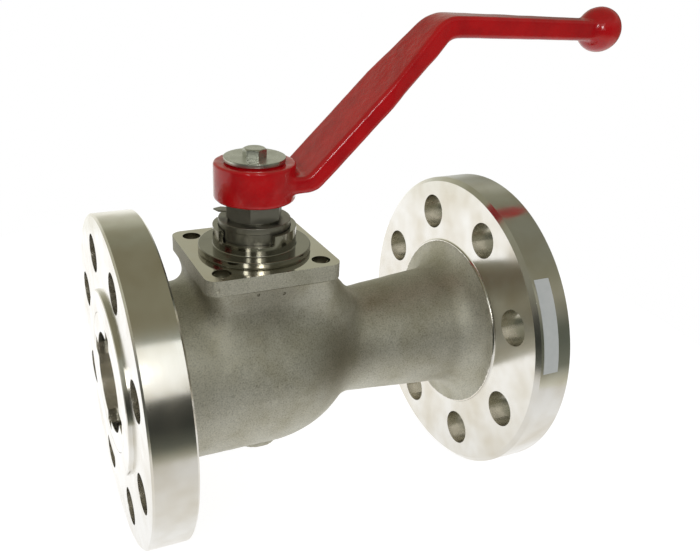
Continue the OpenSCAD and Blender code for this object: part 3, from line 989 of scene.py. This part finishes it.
@dataclass
class Casting:
    """The one-piece cast body: skin, two flanges, square pad and stop hub.

    The column stands between the round shell and the pad. Its waist widens into the pad, and on its
    +X side a web slopes down to the neck.
    """

    palette: Palette
    body: str = "casting"
    slot: str = "cast_stainless"
    length: float = 216.0
    stem_x: float = STEM_X
    flange_r: float = 82.5
    flange_t: float = 22.4
    raised_r: float = 46.05
    raised_h: float = 2.0
    bolt_circle_r: float = 63.5
    bolt_r: float = 9.5
    edge_break: float = 0.35
    overlap: float = 4.0
    shell_r: float = 45.0
    shoulder_r: float = 59.5
    throat_r: float = 16.5
    neck_r: float = 27.9
    neck_slope: float = 0.084
    flare_r: float = 13.0
    lip: float = 1.2
    lip_r: float = 46.7
    pad_z: float = 61.2
    pad_t: float = 7.6
    pad_half: float = 33.0
    pad_left: float = 33.9
    pad_hole_at: float = 24.75
    pad_hole_r: float = 4.5
    pad_hole_depth: float = 12.0
    pad_corner_r: float = 6.0
    column_half: float = 29.2
    column_front: float = 1.8
    column_corner_r: float = 9.0
    column_corner_growth: float = 0.75
    column_corner_max: float = 26.0
    waist_z: float = 41.0
    waist_power: float = 1.6
    web_inset: float = 1.2
    web_depth: float = 24.0
    web_slope: float = 0.9
    web_pinch: float = 0.12
    web_run: float = 25.0
    fillet_r: float = 9.0
    fillet_loss: float = 2.5
    boss_r: float = 12.5
    boss_z: float = -50.0
    boss_fillet: float = 3.0
    spigot_r: float = 27.5
    spigot_top: float = 64.4
    hub_r: float = 20.3
    hub_top: float = 69.0
    lug_top: float = 74.0
    recess_r: float = 17.6
    recess_z: float = 66.0
    packing_r: float = 14.0
    thread_r: float = 35.0
    thread_length: float = 33.5
    inner_bores: tuple[Point, ...] = ((59.7, 33.1), (92.8, 32.0), (100.8, 27.6))
    stem_bores: tuple[Point, ...] = ((39.5, 12.6), (46.0, 9.05))
    port_r: float = 25.0
    port_length: float = 20.0
    cone_length: float = 26.0
    bore_r: float = 19.0
    skin_pits: tuple[Point3, ...] = ((66.5, -31.8, 51.3), (79.4, -31.6, 49.9))
    skin_pit_r: float = 0.8
    pad_pit: Point3 = (46.4, -33.9, 56.6)
    pad_pit_r: float = 1.8
    voxel: float = 1.0

    @property
    def outlet_back(self) -> float:
        """Where the outlet flange's back face lies along the pipe."""
        return self.length - self.flange_t

    def outline(self) -> list[Point]:
        """Radius of the cast body along the pipe, from flange to flange."""
        angle = math.atan(self.neck_slope)
        shoulder = (self.stem_x, self.shell_r - self.shoulder_r)
        throat_y = self.neck_r + self.throat_r * math.cos(angle)
        reach = self.shoulder_r + self.throat_r
        throat = (self.stem_x + math.sqrt(reach**2 - (throat_y - shoulder[1]) ** 2), throat_y)
        turn = math.degrees(math.atan2(throat[1] - shoulder[1], throat[0] - shoulder[0]))
        end_x = throat[0] + self.throat_r * math.sin(angle)
        flare_x = self.outlet_back - self.flare_r - self.lip
        wall = self.neck_r + self.neck_slope * (flare_x - end_x)
        flare = (flare_x, wall + self.flare_r / math.cos(angle))
        slope = math.degrees(angle)
        return [
            (self.flange_t - self.overlap, self.shell_r),
            *arc(shoulder, self.shoulder_r, 90, turn, 30),
            *arc(throat, self.throat_r, 180 + turn, 270 + slope, 20),
            *arc(flare, self.flare_r, 270 + slope, 359.5, 24),
            (self.outlet_back - self.lip, self.lip_r),
            (self.outlet_back + self.overlap, self.lip_r),
        ]

    def column_field(self, p: np.ndarray) -> np.ndarray:
        """Distance to the column under the pad, with its waist and its web.

        Args:
            p: N by 3 points in millimetres.

        Returns:
            The signed distance of each.
        """
        under = self.pad_z - self.pad_t
        rise = np.clip((p[:, 2] - self.waist_z) / (under - self.waist_z), 0, 1.1)
        rise = rise**self.waist_power
        half = self.column_half + (self.pad_half - 0.5 - self.column_half) * rise
        drop = np.clip(under - p[:, 2], 0, self.web_depth)
        x = p[:, 0] - self.stem_x
        on_web = x > 0
        grown = np.minimum(
            self.column_corner_r + self.column_corner_growth * drop, self.column_corner_max
        )
        corner = np.where(on_web, grown, self.column_corner_r)
        web = self.pad_half - self.web_inset + self.web_slope * drop
        reach = np.where(on_web, web, half + self.pad_left - self.pad_half)
        wide = half + self.column_front * (1 - rise)
        wide = wide - self.web_pinch * drop * np.clip(x / self.web_run, 0, 1)
        side = rounded(np.abs(x) - reach, np.abs(p[:, 1]) - wide, corner)
        return np.maximum(side, p[:, 2] - (self.pad_z - self.overlap))

    def skin_field(self) -> Field:
        """The cast body's outside as a distance field with fillets."""
        path = np.array(self.outline())

        def whole(p: np.ndarray) -> np.ndarray:
            """Distance to the skin.

            Args:
                p: N by 3 points in millimetres.

            Returns:
                The signed distance of each.
            """
            around = np.stack([p[:, 0], np.hypot(p[:, 1], p[:, 2])], axis=1)
            gap, side = distance_to_path(around, path)
            turned = gap * side
            turned = np.maximum(turned, self.flange_t - self.overlap - p[:, 0])
            turned = np.maximum(turned, p[:, 0] - self.outlet_back - self.overlap)
            fillet = self.fillet_r - np.clip((p[:, 0] - self.stem_x) / 12, 0, self.fillet_loss)
            upper = blend_union(turned, self.column_field(p), fillet)
            boss = np.hypot(p[:, 0] - self.stem_x, p[:, 1]) - self.boss_r
            boss = np.maximum(np.maximum(boss, self.boss_z - p[:, 2]), p[:, 2])
            return np.where(p[:, 2] < 0, blend_union(turned, boss, self.boss_fillet), upper)

        return whole

    def build_skin(self) -> Object:
        """Model the cast outside between the flanges, with its fillets and its hollow."""
        outline = self.outline()
        ends = [(outline[-1][0], 0.0), (outline[0][0], 0.0)]
        turned = lathe("turned_blank", outline + ends, Axis.PIPE)
        deselect()
        height = self.pad_z - self.overlap
        bpy.ops.mesh.primitive_cube_add(size=MM, location=(self.stem_x * MM, 0, height / 2 * MM))
        column = bpy.context.object
        column.scale = (2 * self.column_half, 2 * self.column_half, height)
        place_in_mesh(column)
        foot = (self.stem_x, 0, self.boss_z)
        boss = rod("boss_blank", self.boss_r, foot, -self.boss_z, Axis.STEM)
        skin = fuse("cast_body_skin", [turned, column, boss], self.voxel)
        settle(skin, self.skin_field(), 12)
        roughen(skin, "mould_lumps", 9.0, 0.35)
        combine(skin, self.hollows() + [pit(at, self.skin_pit_r) for at in self.skin_pits])
        smooth(skin, CAST_SMOOTH)
        return dress(skin, self.body, self.slot, self.palette.casting)

    def hollows(self) -> list[Object]:
        """The flow path and the stem's bores as cutters."""
        port_start = self.length - self.port_length
        bores = stepped(0.0, ((self.thread_length, self.thread_r), *self.inner_bores))
        flow = [
            (0.0, 0.0),
            *bores,
            (bores[-1][0], self.bore_r),
            (port_start - self.cone_length, self.bore_r),
            (port_start, self.port_r),
            (self.length, self.port_r),
            (self.length, 0.0),
        ]
        low, high = 20.0, 70.0
        bores = stepped(low, (*self.stem_bores, (high, self.packing_r)))
        stem = [(0.0, low), *((radius, z) for z, radius in bores), (0.0, high)]
        return [
            lathe("flow_cutter", flow, Axis.PIPE, steps=96),
            lathe("stem_cutter", stem, Axis.STEM, steps=64),
        ]

    def bolt_cutter(self, x: float) -> Object:
        """Eight bolt holes through one flange as a single cutter.

        Args:
            x: Where the cutter starts along the pipe.

        Returns:
            The cutter.
        """
        deep = self.flange_t + 4
        centres = self.bolt_centres()
        return join(
            [rod("bolt_cutter", self.bolt_r, (x, y, z), deep, Axis.PIPE, 48) for y, z in centres]
        )

    def bolt_centres(self) -> list[Point]:
        """Centres of the eight bolt holes as (y, z)."""
        angles = [math.radians(22.5 + 45 * i) for i in range(8)]
        r = self.bolt_circle_r
        return [(r * math.cos(a), r * math.sin(a)) for a in angles]

    def finish_flange(self, name: str, outline: Sequence[Point], cut_from: float) -> Object:
        """Turn a flange, drill its bolt holes and dress it.

        Args:
            name: Name of the flange.
            outline: Corners as (x, r) in millimetres.
            cut_from: Where the bolt holes start along the pipe.

        Returns:
            The flange.
        """
        flange = lathe(name, outline, Axis.PIPE, steps=FLANGE_STEPS)
        combine(flange, [self.bolt_cutter(cut_from)])
        break_edges(flange, self.edge_break)
        dress(flange, self.body, self.slot, self.palette.turned_pipe, self.palette.drilled)
        mark_bores(flange, self.bolt_centres(), self.bolt_r, Axis.PIPE, 1)
        return flange

    def build_inlet_flange(self) -> Object:
        """Turn the inlet flange with its raised face, edge breaks and bolt holes."""
        t, r = self.flange_t, self.flange_r
        outline = [
            (0.0, self.thread_r),
            (0.0, self.raised_r - 0.5),
            (0.4, self.raised_r),
            (self.raised_h, self.raised_r + 0.3),
            (self.raised_h, r - 1.0),
            (self.raised_h + 0.9, r),
            (t - 0.9, r),
            (t, r - 0.9),
            (t, self.thread_r),
        ]
        return self.finish_flange("inlet_flange", outline, -2)

    def build_outlet_flange(self) -> Object:
        """Turn the outlet flange, with the bright ring around the neck's flare."""
        t, r, end = self.flange_t, self.flange_r, self.length
        back = self.outlet_back
        ring_x, ring_r = back - self.lip + 0.25, self.lip_r + 0.5
        outline = [
            (back + self.overlap, self.port_r),
            (ring_x, self.lip_r - 2),
            (ring_x, ring_r),
            *arc((ring_x, ring_r + back - ring_x), back - ring_x, -60, 0, 5),
            (back, r - 2.2),
            (back + 2.0, r),
            (end - self.raised_h - 0.9, r),
            (end - self.raised_h, r - 1.0),
            (end - self.raised_h, self.raised_r + 0.3),
            (end - 0.4, self.raised_r),
            (end, self.raised_r - 0.5),
            (end, self.port_r),
        ]
        return self.finish_flange("outlet_flange", outline, back - 2)

    def build_pad(self) -> Object:
        """Model the square pad: cast sides, a milled top and four drilled holes."""
        half, left = self.pad_half, self.pad_left
        bottom = self.pad_z - self.pad_t
        centre = Vector((self.stem_x + (half - left) / 2, 0, bottom + self.pad_t / 2))
        deselect()
        bpy.ops.mesh.primitive_cube_add(size=MM, location=centre * MM)
        pad = bpy.context.object
        pad.name = pad.data.name = "mounting_pad"
        pad.scale = (half + left, 2 * half, self.pad_t)
        place_in_mesh(pad)
        select_edges(pad, lambda a, b: abs(a.z - b.z) > 1 * MM)
        bpy.ops.mesh.bevel(offset=self.pad_corner_r * MM, segments=10)
        bpy.ops.mesh.select_mode(type="VERT")
        bpy.ops.object.mode_set(mode="OBJECT")
        d, hole_z = self.pad_hole_at, self.pad_z - self.pad_hole_depth
        centres = [(self.stem_x + sx * d, sy * d) for sx in (-1, 1) for sy in (-1, 1)]
        holes = [
            rod("pad_hole", self.pad_hole_r, (x, y, hole_z), self.pad_hole_depth + 2, Axis.STEM, 40)
            for x, y in centres
        ]
        holes.append(pit(self.pad_pit, self.pad_pit_r))
        holes.append(rod("pad_centre", 24.0, (self.stem_x, 0, bottom - 1), 12, Axis.STEM, 96))
        combine(pad, holes)
        break_edges(pad, 0.5)
        p = self.palette
        dress(pad, self.body, self.slot, p.pad_sides_painted_lighter, p.milled, p.turned_stem)
        for face in pad.data.polygons:
            on_top = face.center.z > (self.pad_z - 0.3) * MM
            face.material_index = int(face.normal.z > 0.9 and on_top)
        mark_bores(pad, centres, self.pad_hole_r, Axis.STEM, 2)
        return pad

    def build_hub(self) -> Object:
        """Turn the spigot and the hub, then mill the two gaps in its rim."""
        top, face = self.lug_top - 0.2, self.pad_z - 0.05
        root_r, root_z, undercut = 24.5, 56.0, 0.35
        outline = [
            (self.packing_r, root_z),
            (root_r, root_z),
            (root_r, face),
            (self.spigot_r - undercut, face),
            (self.spigot_r - undercut, self.pad_z + 0.5),
            (self.spigot_r, self.pad_z + 0.7),
            (self.spigot_r, self.spigot_top - 0.3),
            (self.spigot_r - 0.3, self.spigot_top),
            (self.hub_r + 0.3, self.spigot_top),
            (self.hub_r, self.spigot_top + 0.4),
            (self.hub_r, top),
            (self.recess_r, top),
            (self.recess_r, self.recess_z),
            (self.packing_r, self.recess_z),
        ]
        hub = lathe("stop_hub", outline, Axis.STEM, steps=144)
        inner, outer, above = 12.0, 24.0, 80.0
        gap = [(inner, self.hub_top), (outer, self.hub_top), (outer, above), (inner, above)]
        gaps = [
            lathe("front_gap", gap, Axis.STEM, sweep=83.0, start=195.0, steps=28),
            lathe("back_gap", gap, Axis.STEM, sweep=121.6, start=14.2, steps=40),
        ]
        combine(hub, gaps)
        break_edges(hub, 0.25)
        return dress(hub, self.body, self.slot, self.palette.turned_stem)

    def build(self) -> list[Object]:
        """Build every visible piece of the casting."""
        pieces = [
            self.build_skin(),
            self.build_inlet_flange(),
            self.build_outlet_flange(),
            self.build_pad(),
            self.build_hub(),
        ]
        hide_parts("body")
        return pieces


@dataclass
class Lever:
    """The enamelled cast lever: hub, bent arm and ball."""

    palette: Palette
    body: str = "rotor"
    stem_x: float = STEM_X
    hub_r: float = 19.5
    hub_z: Point = (87.1, 104.5)
    hub_edge: float = 1.0
    hub_fillet: float = 2.5
    hole_r: float = 9.1
    boss_r: float = 13.8
    boss_z: float = 105.1
    boss_mid: float = 100.0
    boss_edge: float = 0.3
    boss_fillet: float = 0.8
    root_z: float = 94.9
    low_bend: float = 23.3
    high_bend: float = 93.7
    crest_z: float = 163.7
    ball_x: float = 191.8
    ball_z: float = 159.2
    ball_r: float = 11.3
    ball_fillet: float = 1.5
    low_r: float = 10.0
    high_r: float = 13.0
    arm_half: float = 15.2
    taper_x: float = 64.0
    crest_half: float = 9.5
    grip_half: float = 6.6
    arm_t: float = 8.6
    grip_t: float = 9.6
    edge_r: float = 2.1
    blank_half: float = 4.4
    voxel: float = 0.75

    def middle_line(self) -> np.ndarray:
        """The arm's middle line in the XZ plane, x from the stem's axis."""
        rise = math.degrees(math.atan2(self.crest_z - self.root_z, self.high_bend - self.low_bend))
        fall = math.degrees(math.atan2(self.ball_z - self.crest_z, self.ball_x - self.high_bend))
        low_x = self.low_bend - self.low_r * math.tan(math.radians(rise / 2))
        low_c = (low_x, self.root_z + self.low_r)
        back = self.high_r * math.tan(math.radians((rise - fall) / 2))
        run, climb = math.cos(math.radians(rise)), math.sin(math.radians(rise))
        tangent = (self.high_bend - back * run, self.crest_z - back * climb)
        high_c = (tangent[0] + self.high_r * climb, tangent[1] - self.high_r * run)
        return np.array(
            [
                (0.0, self.root_z),
                *arc(low_c, self.low_r, -90, rise - 90, 8),
                *arc(high_c, self.high_r, rise + 90, fall + 90, 12),
                (self.ball_x, self.ball_z),
            ]
        )

    def below(self, x: np.ndarray) -> np.ndarray:
        """Extra thickness under the middle line.

        Args:
            x: Distances from the stem's axis in millimetres.

        Returns:
            The extra thickness at each.
        """
        places = [20, 27, 45, 70, self.high_bend - 6, self.high_bend + 10, self.ball_x]
        return np.interp(x, places, [-0.5, 0.3, 0.4, 0.3, 1.5, 0.5, 0.5])

    def lever_field(self) -> Field:
        """The lever as a distance field with soft cast edges."""
        line = self.middle_line()
        bend = self.high_bend
        lo, hi = self.hub_z
        width_x = [self.taper_x, bend, self.ball_x]
        widths = [self.arm_half, self.crest_half, self.grip_half]

        def whole(p: np.ndarray) -> np.ndarray:
            """Distance to the lever.

            Args:
                p: N by 3 points in millimetres.

            Returns:
                The signed distance of each.
            """
            x = p[:, 0] - self.stem_x
            y, z = p[:, 1], p[:, 2]
            gap, side = distance_to_path(np.stack([x, z], axis=1), line)
            half_w = np.interp(x, width_x, widths)
            half_t = np.interp(x, [bend - 15, bend + 10], [self.arm_t / 2, self.grip_t / 2])
            half_t = half_t + np.where(side < 0, self.below(x), 0)
            arm = rounded(gap - half_t, np.abs(y) - half_w, self.edge_r)
            around = np.hypot(x, y)
            hub_up = np.abs(z - (lo + hi) / 2) - (hi - lo) / 2
            hub = rounded(around - self.hub_r, hub_up, self.hub_edge)
            boss_up = np.abs(z - self.boss_mid) - (self.boss_z - self.boss_mid)
            boss = rounded(around - self.boss_r, boss_up, self.boss_edge)
            ball = np.sqrt((x - self.ball_x) ** 2 + y**2 + (z - self.ball_z) ** 2) - self.ball_r
            joined = blend_union(blend_union(arm, hub, self.hub_fillet), ball, self.ball_fillet)
            return blend_union(joined, boss, self.boss_fillet)

        return whole

    def build(self) -> Object:
        """Model the lever's casting with its round hole for the stem."""
        line = self.middle_line()
        run = np.concatenate([[0], np.cumsum(np.hypot(*np.diff(line, axis=0).T))])
        stops = np.linspace(0, run[-1], 90)
        line = np.stack([np.interp(stops, run, line[:, i]) for i in (0, 1)], axis=1)
        upper, lower = [], []
        for i, (x, z) in enumerate(line):
            before, after = line[max(i - 1, 0)], line[min(i + 1, len(line) - 1)]
            ahead, up = (after - before) / np.linalg.norm(after - before)
            upper.append((x - up * self.blank_half, z + ahead * self.blank_half))
            deep = self.blank_half + float(self.below(x))
            lower.append((x + up * deep, z - ahead * deep))
        arm = self.blank("arm_blank", upper + lower[::-1], 40)
        plan = [
            (0.0, self.arm_half),
            (self.taper_x, self.arm_half),
            (self.high_bend, self.crest_half),
            (self.ball_x, self.grip_half),
        ]
        plan += [(x, -y) for x, y in plan[::-1]]
        mask = self.blank("plan_blank", plan, 400)
        mask.rotation_euler.x = math.pi / 2
        place_in_mesh(mask)
        combine(arm, [mask], "INTERSECT")
        arm.location.x = self.stem_x * MM
        place_in_mesh(arm)
        lo, hi = self.hub_z
        hub = rod("hub_blank", self.hub_r, (self.stem_x, 0, lo), hi - lo, Axis.STEM, 96)
        start = (self.stem_x, 0, lo + 2)
        boss = rod("boss_blank", self.boss_r, start, self.boss_z - lo - 2, Axis.STEM, 96)
        deselect()
        bpy.ops.mesh.primitive_uv_sphere_add(
            segments=64,
            ring_count=32,
            radius=self.ball_r * MM,
            location=((self.stem_x + self.ball_x) * MM, 0, self.ball_z * MM),
        )
        ball = bpy.context.object
        place_in_mesh(ball)
        lever = fuse("cast_lever", [arm, hub, boss, ball], self.voxel)
        settle(lever, self.lever_field(), 4)
        roughen(lever, "sand_lumps", 10.0, 0.3)
        hole = rod("stem_cutter", self.hole_r, (self.stem_x, 0, lo - 2), 30, Axis.STEM, 64)
        combine(lever, [hole])
        smooth(lever, CAST_SMOOTH)
        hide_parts("lever")
        return dress(lever, self.body, "red_enamel", self.palette.enamel)

    def blank(self, name: str, outline: Sequence[Point], depth: float) -> Object:
        """Extrude an outline evenly to both sides of the XZ plane.

        Args:
            name: Name of the new solid.
            outline: Its corners as (x, z) in millimetres.
            depth: Its whole depth in millimetres.

        Returns:
            The closed solid.
        """
        solid = outline_face(name, outline)
        bpy.ops.mesh.extrude_region_move(TRANSFORM_OT_translate={"value": (0, depth * MM, 0)})
        bpy.ops.mesh.select_all(action="SELECT")
        bpy.ops.transform.translate(value=(0, -depth / 2 * MM, 0))
        bpy.ops.mesh.normals_make_consistent(inside=False)
        bpy.ops.object.mode_set(mode="OBJECT")
        return solid


@dataclass
class Gland:
    """The turned and pressed steel pieces on the stem, with their sharp edges broken."""

    palette: Palette
    stem_x: float = STEM_X

    def broken(
        self, node: str, body: str, slot: str, width: float, material: Material, turn: float = 0.0
    ) -> Object:
        """Copy a CAD node and break its edges.

        Args:
            node: The CAD node that the piece stands in for.
            body: The CAD body that it moves with.
            slot: Name of the piece's material slot.
            width: Width of the broken edge in millimetres.
            material: The piece's finish.
            turn: Angle in degrees by which the piece is screwed further about the stem.

        Returns:
            The piece.
        """
        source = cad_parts[node]
        piece = bpy.data.objects.new(f"{node}_finished", source.data.copy())
        piece.data.name = piece.name
        bpy.context.collection.objects.link(piece)
        stem = Matrix.Translation((self.stem_x * MM, 0, 0))
        turned = stem @ Matrix.Rotation(math.radians(turn), 4, "Z") @ stem.inverted()
        piece.matrix_world = turned @ source.matrix_world
        place_in_mesh(piece)
        bpy.ops.object.mode_set(mode="EDIT")
        bpy.ops.mesh.select_all(action="SELECT")
        bpy.ops.mesh.remove_doubles(threshold=COPIED_WELD * MM)
        bpy.ops.mesh.dissolve_limited(angle_limit=math.radians(0.5))
        bpy.ops.mesh.normals_make_consistent(inside=False)
        bpy.ops.object.mode_set(mode="OBJECT")
        break_edges(piece, width)
        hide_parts(node)
        return dress(piece, body, slot, material)

    def build(self) -> list[Object]:
        """Finish every visible piece of the gland and the lever's fastening."""
        p = self.palette
        return [
            self.broken("gland_nut", "rotor", "dark_steel", 0.3, p.blacked),
            self.broken("pressure_disc", "rotor", "dark_steel", 0.35, p.oiled),
            self.broken("stop_collar", "rotor", "dark_steel", 0.25, p.oiled),
            self.broken("tab_washer", "rotor", "washer_steel", 0.12, p.sheet),
            self.broken("lever_washer", "rotor", "bolt_steel", 0.25, p.bolt),
            self.broken("lever_bolt", "rotor", "bolt_steel", 0.35, p.bolt, turn=29.0),
            self.broken("body_insert", "casting", "turned_stainless", 0.3, p.turned_pipe),
        ]


@dataclass
class CarriedNodes:
    """The CAD nodes whose shape is right and that only take a finish."""

    palette: Palette

    def dress(self) -> None:
        """Assign a finish to every CAD node."""
        p = self.palette
        finishes = {
            "body_insert": p.turned_pipe,
            "body_gasket": p.ptfe,
            "insert_o_ring": p.rubber,
            "seat_ring_inlet": p.ptfe,
            "seat_ring_outlet": p.ptfe,
            "ball": p.polished,
            "stem": p.turned_stem,
            "stem_thrust_washer": p.ptfe,
            "stem_o_ring": p.rubber,
            "antistatic_balls": p.polished,
            "antistatic_springs": p.spring,
            "packing_graphite_ring": p.graphite,
            "packing_rings": p.ptfe,
            "gland_follower": p.turned_stem,
            "disc_springs": p.spring,
            "stop_collar": p.oiled,
            "pressure_disc": p.oiled,
            "tab_washer": p.sheet,
            "gland_nut": p.blacked,
            "lever_washer": p.bolt,
            "lever_bolt": p.bolt,
            "rim_label": p.film,
            "body": p.casting,
            "lever": p.enamel,
        }
        for name, material in finishes.items():
            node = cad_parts[name]
            node.data.materials.clear()
            node.data.materials.append(material)
            LOG.info("%s: %s", name, material.name)


# --- Studio ---

# Brightness of the room by height: 0 is straight down, 0.5 level and 1 straight up.
FRONT = (
    (0.0, "#F2F1EA"),
    (0.117, "#DEDDD2"),
    (0.18, "#DEDDD2"),
    (0.26, "#C6C4B6"),
    (0.31, "#868779"),
    (0.35, "#4E5149"),
    (0.465, "#262823"),
    (0.6, "#3E3E37"),
    (0.66, "#6E6D60"),
    (0.877, "#8D9085"),
    (0.93, "#787561"),
)
RIGHT = (
    (0.0, "#FFFFFF"),
    (0.117, "#FFFFFF"),
    (0.23, "#E0E0D6"),
    (0.305, "#B4B4A8"),
    (0.36, "#6C6E62"),
    (0.5, "#565A50"),
    (0.57, "#565A50"),
    (0.655, "#79796E"),
    (0.735, "#97978A"),
    (0.8, "#7C7C6C"),
    (0.883, "#6F6F62"),
)
BACK = (
    (0.0, "#FFFFFF"),
    (0.5, "#EAEAE2"),
    (0.604, "#BBBBAE"),
    (0.703, "#A9A998"),
    (0.794, "#8A8A78"),
    (0.877, "#7E7E6C"),
    (0.93, "#787561"),
)


@dataclass
class Studio:
    """Pale floor, soft light and the camera."""

    floor_z: float = -83.0
    table_r: float = 360.0
    table_at: Point = (100.0, 100.0)
    lit_at: Point3 = (80.0, 0.0, 30.0)
    eye: Point3 = (-47.4, -337.8, 208.0)
    heading: float = 24.06
    tilt: float = -26.25
    roll: float = 1.94
    lens: float = 40.47
    shift: tuple[float, float] = (0.0666, 0.0344)

    def camera(self) -> None:
        """Set the camera at the valve's front left, looking down on it."""
        heading, tilt, roll = (math.radians(v) for v in (self.heading, self.tilt, self.roll))
        level = math.cos(tilt)
        forward = Vector((math.sin(heading) * level, math.cos(heading) * level, math.sin(tilt)))
        right = forward.cross(Vector((0, 0, 1))).normalized()
        up = right.cross(forward)
        right, up = (
            math.cos(roll) * right + math.sin(roll) * up,
            -math.sin(roll) * right + math.cos(roll) * up,
        )
        data = bpy.data.cameras.new("camera")
        data.lens, data.sensor_width = self.lens, 36.0
        data.shift_x, data.shift_y = self.shift
        data.clip_start, data.clip_end = 0.01, 20
        camera = bpy.data.objects.new("camera", data)
        bpy.context.collection.objects.link(camera)
        aim = Matrix((right, up, -forward)).transposed().to_4x4()
        camera.matrix_world = Matrix.Translation(Vector(self.eye) * MM) @ aim
        bpy.context.scene.camera = camera

    def world(self) -> None:
        """Light the room: white to the camera, a studio's bands to the metal."""
        world = bpy.data.worlds.new("studio")
        world.use_nodes = True
        tree = world.node_tree
        tree.nodes.clear()
        direction = add_node(tree, "ShaderNodeTexCoord").outputs["Generated"]
        parts = add_node(tree, "ShaderNodeSeparateXYZ", links={"Vector": direction})
        height = add_node(
            tree,
            "ShaderNodeMapRange",
            values={1: -1.0, 2: 1.0, 3: 0.0, 4: 1.0},
            links={0: parts.outputs["Z"]},
        ).outputs[0]
        front, right, back = (
            add_node(tree, "ShaderNodeValToRGB", links={0: height}, stops=stops).outputs[0]
            for stops in (FRONT, RIGHT, BACK)
        )
        room = back
        for side, low, high, bands in (("Y", 0.3, -0.15, front), ("X", 0.4, 0.68, right)):
            share = add_node(
                tree,
                "ShaderNodeMapRange",
                settings={"interpolation_type": "SMOOTHSTEP"},
                values={1: low, 2: high, 3: 0.0, 4: 1.0},
                links={0: parts.outputs[side]},
            ).outputs[0]
            room = add_node(
                tree,
                "ShaderNodeMix",
                settings={"data_type": "RGBA"},
                links={0: share, 6: room, 7: bands},
            ).outputs[2]
        rays = add_node(tree, "ShaderNodeLightPath")
        white = {"Color": (1, 1, 1, 1)}
        seen = add_node(tree, "ShaderNodeBackground", values=white | {"Strength": 1.0})
        mirrored = add_node(
            tree, "ShaderNodeBackground", values={"Strength": 1.25}, links={"Color": room}
        )
        soft = add_node(tree, "ShaderNodeBackground", values=white | {"Strength": 0.8})
        by_gloss = add_node(
            tree,
            "ShaderNodeMixShader",
            links={0: rays.outputs["Is Glossy Ray"], 1: soft.outputs[0], 2: mirrored.outputs[0]},
        )
        by_camera = add_node(
            tree,
            "ShaderNodeMixShader",
            links={0: rays.outputs["Is Camera Ray"], 1: by_gloss.outputs[0], 2: seen.outputs[0]},
        )
        add_node(tree, "ShaderNodeOutputWorld", links={"Surface": by_camera.outputs[0]})
        bpy.context.scene.world = world

    def floor(self) -> None:
        """Lay a pale round table under the valve."""
        deselect()
        centre = Vector((*self.table_at, self.floor_z)) * MM
        bpy.ops.mesh.primitive_circle_add(
            vertices=96, radius=self.table_r * MM, fill_type="NGON", location=centre
        )
        table = bpy.context.object
        table.name = "floor"
        place_in_mesh(table)
        material = bpy.data.materials.new("white_laminate_table")
        material.use_nodes = True
        tree = material.node_tree
        tree.nodes.clear()
        matt = add_node(tree, "ShaderNodeBsdfDiffuse", values={"Color": linear("#9C9C9C")})
        place = add_node(tree, "ShaderNodeTexCoord").outputs["Object"]
        parts = add_node(tree, "ShaderNodeSeparateXYZ", links={"Vector": place})
        fade = add_node(
            tree,
            "ShaderNodeMapRange",
            values={1: -0.2, 2: 0.05, 3: 0.5, 4: 0.95},
            links={0: parts.outputs["Y"]},
        ).outputs[0]
        rays = add_node(tree, "ShaderNodeLightPath")
        glossy = {0: rays.outputs["Is Glossy Ray"], 3: fade}
        strength = add_node(tree, "ShaderNodeMix", values={2: 0.82}, links=glossy).outputs[0]
        glow = add_node(
            tree,
            "ShaderNodeEmission",
            values={"Color": (1, 1, 1, 1)},
            links={"Strength": strength},
        )
        both = add_node(tree, "ShaderNodeAddShader", links={0: matt.outputs[0], 1: glow.outputs[0]})
        add_node(tree, "ShaderNodeOutputMaterial", links={"Surface": both.outputs[0]})
        table.data.materials.append(material)

    def softbox(self, name: str, at: Point3, size: Point, energy: float) -> None:
        """Stand a soft lamp in front of the valve, aimed at it.

        Args:
            name: Name of the lamp.
            at: Its centre in millimetres.
            size: Its width and height in millimetres.
            energy: Its power in watts.
        """
        data = bpy.data.lights.new(name, type="AREA")
        data.shape = "RECTANGLE"
        data.size, data.size_y = size[0] * MM, size[1] * MM
        data.energy = energy
        lamp = bpy.data.objects.new(name, data)
        bpy.context.collection.objects.link(lamp)
        lamp.location = Vector(at) * MM
        aim = Vector(self.lit_at) * MM - lamp.location
        lamp.rotation_euler = aim.to_track_quat("-Z", "Y").to_euler()

    def build(self) -> None:
        """Set up the studio."""
        self.camera()
        self.world()
        self.floor()
        self.softbox("main_softbox", (55, -530, 345), (230, 360), 0.24)
        self.softbox("main_tube", (15, -530, 330), (80, 110), 0.38)
        self.softbox("side_softbox", (-310, -530, 335), (90, 260), 0.35)
        bpy.context.scene.view_settings.view_transform = "Standard"


def main() -> None:
    """Build the valve's pieces in order and set up the studio."""
    logging.basicConfig(level=logging.INFO, format="%(name)s: %(message)s")
    palette = Palette()
    CarriedNodes(palette).dress()
    for piece in Casting(palette).build():
        LOG.info("built %s", piece.name)
    for piece in Gland(palette).build():
        LOG.info("built %s", piece.name)
    LOG.info("built %s", Lever(palette).build().name)
    Studio().build()
    deselect()


if __name__ == "__main__":
    main()
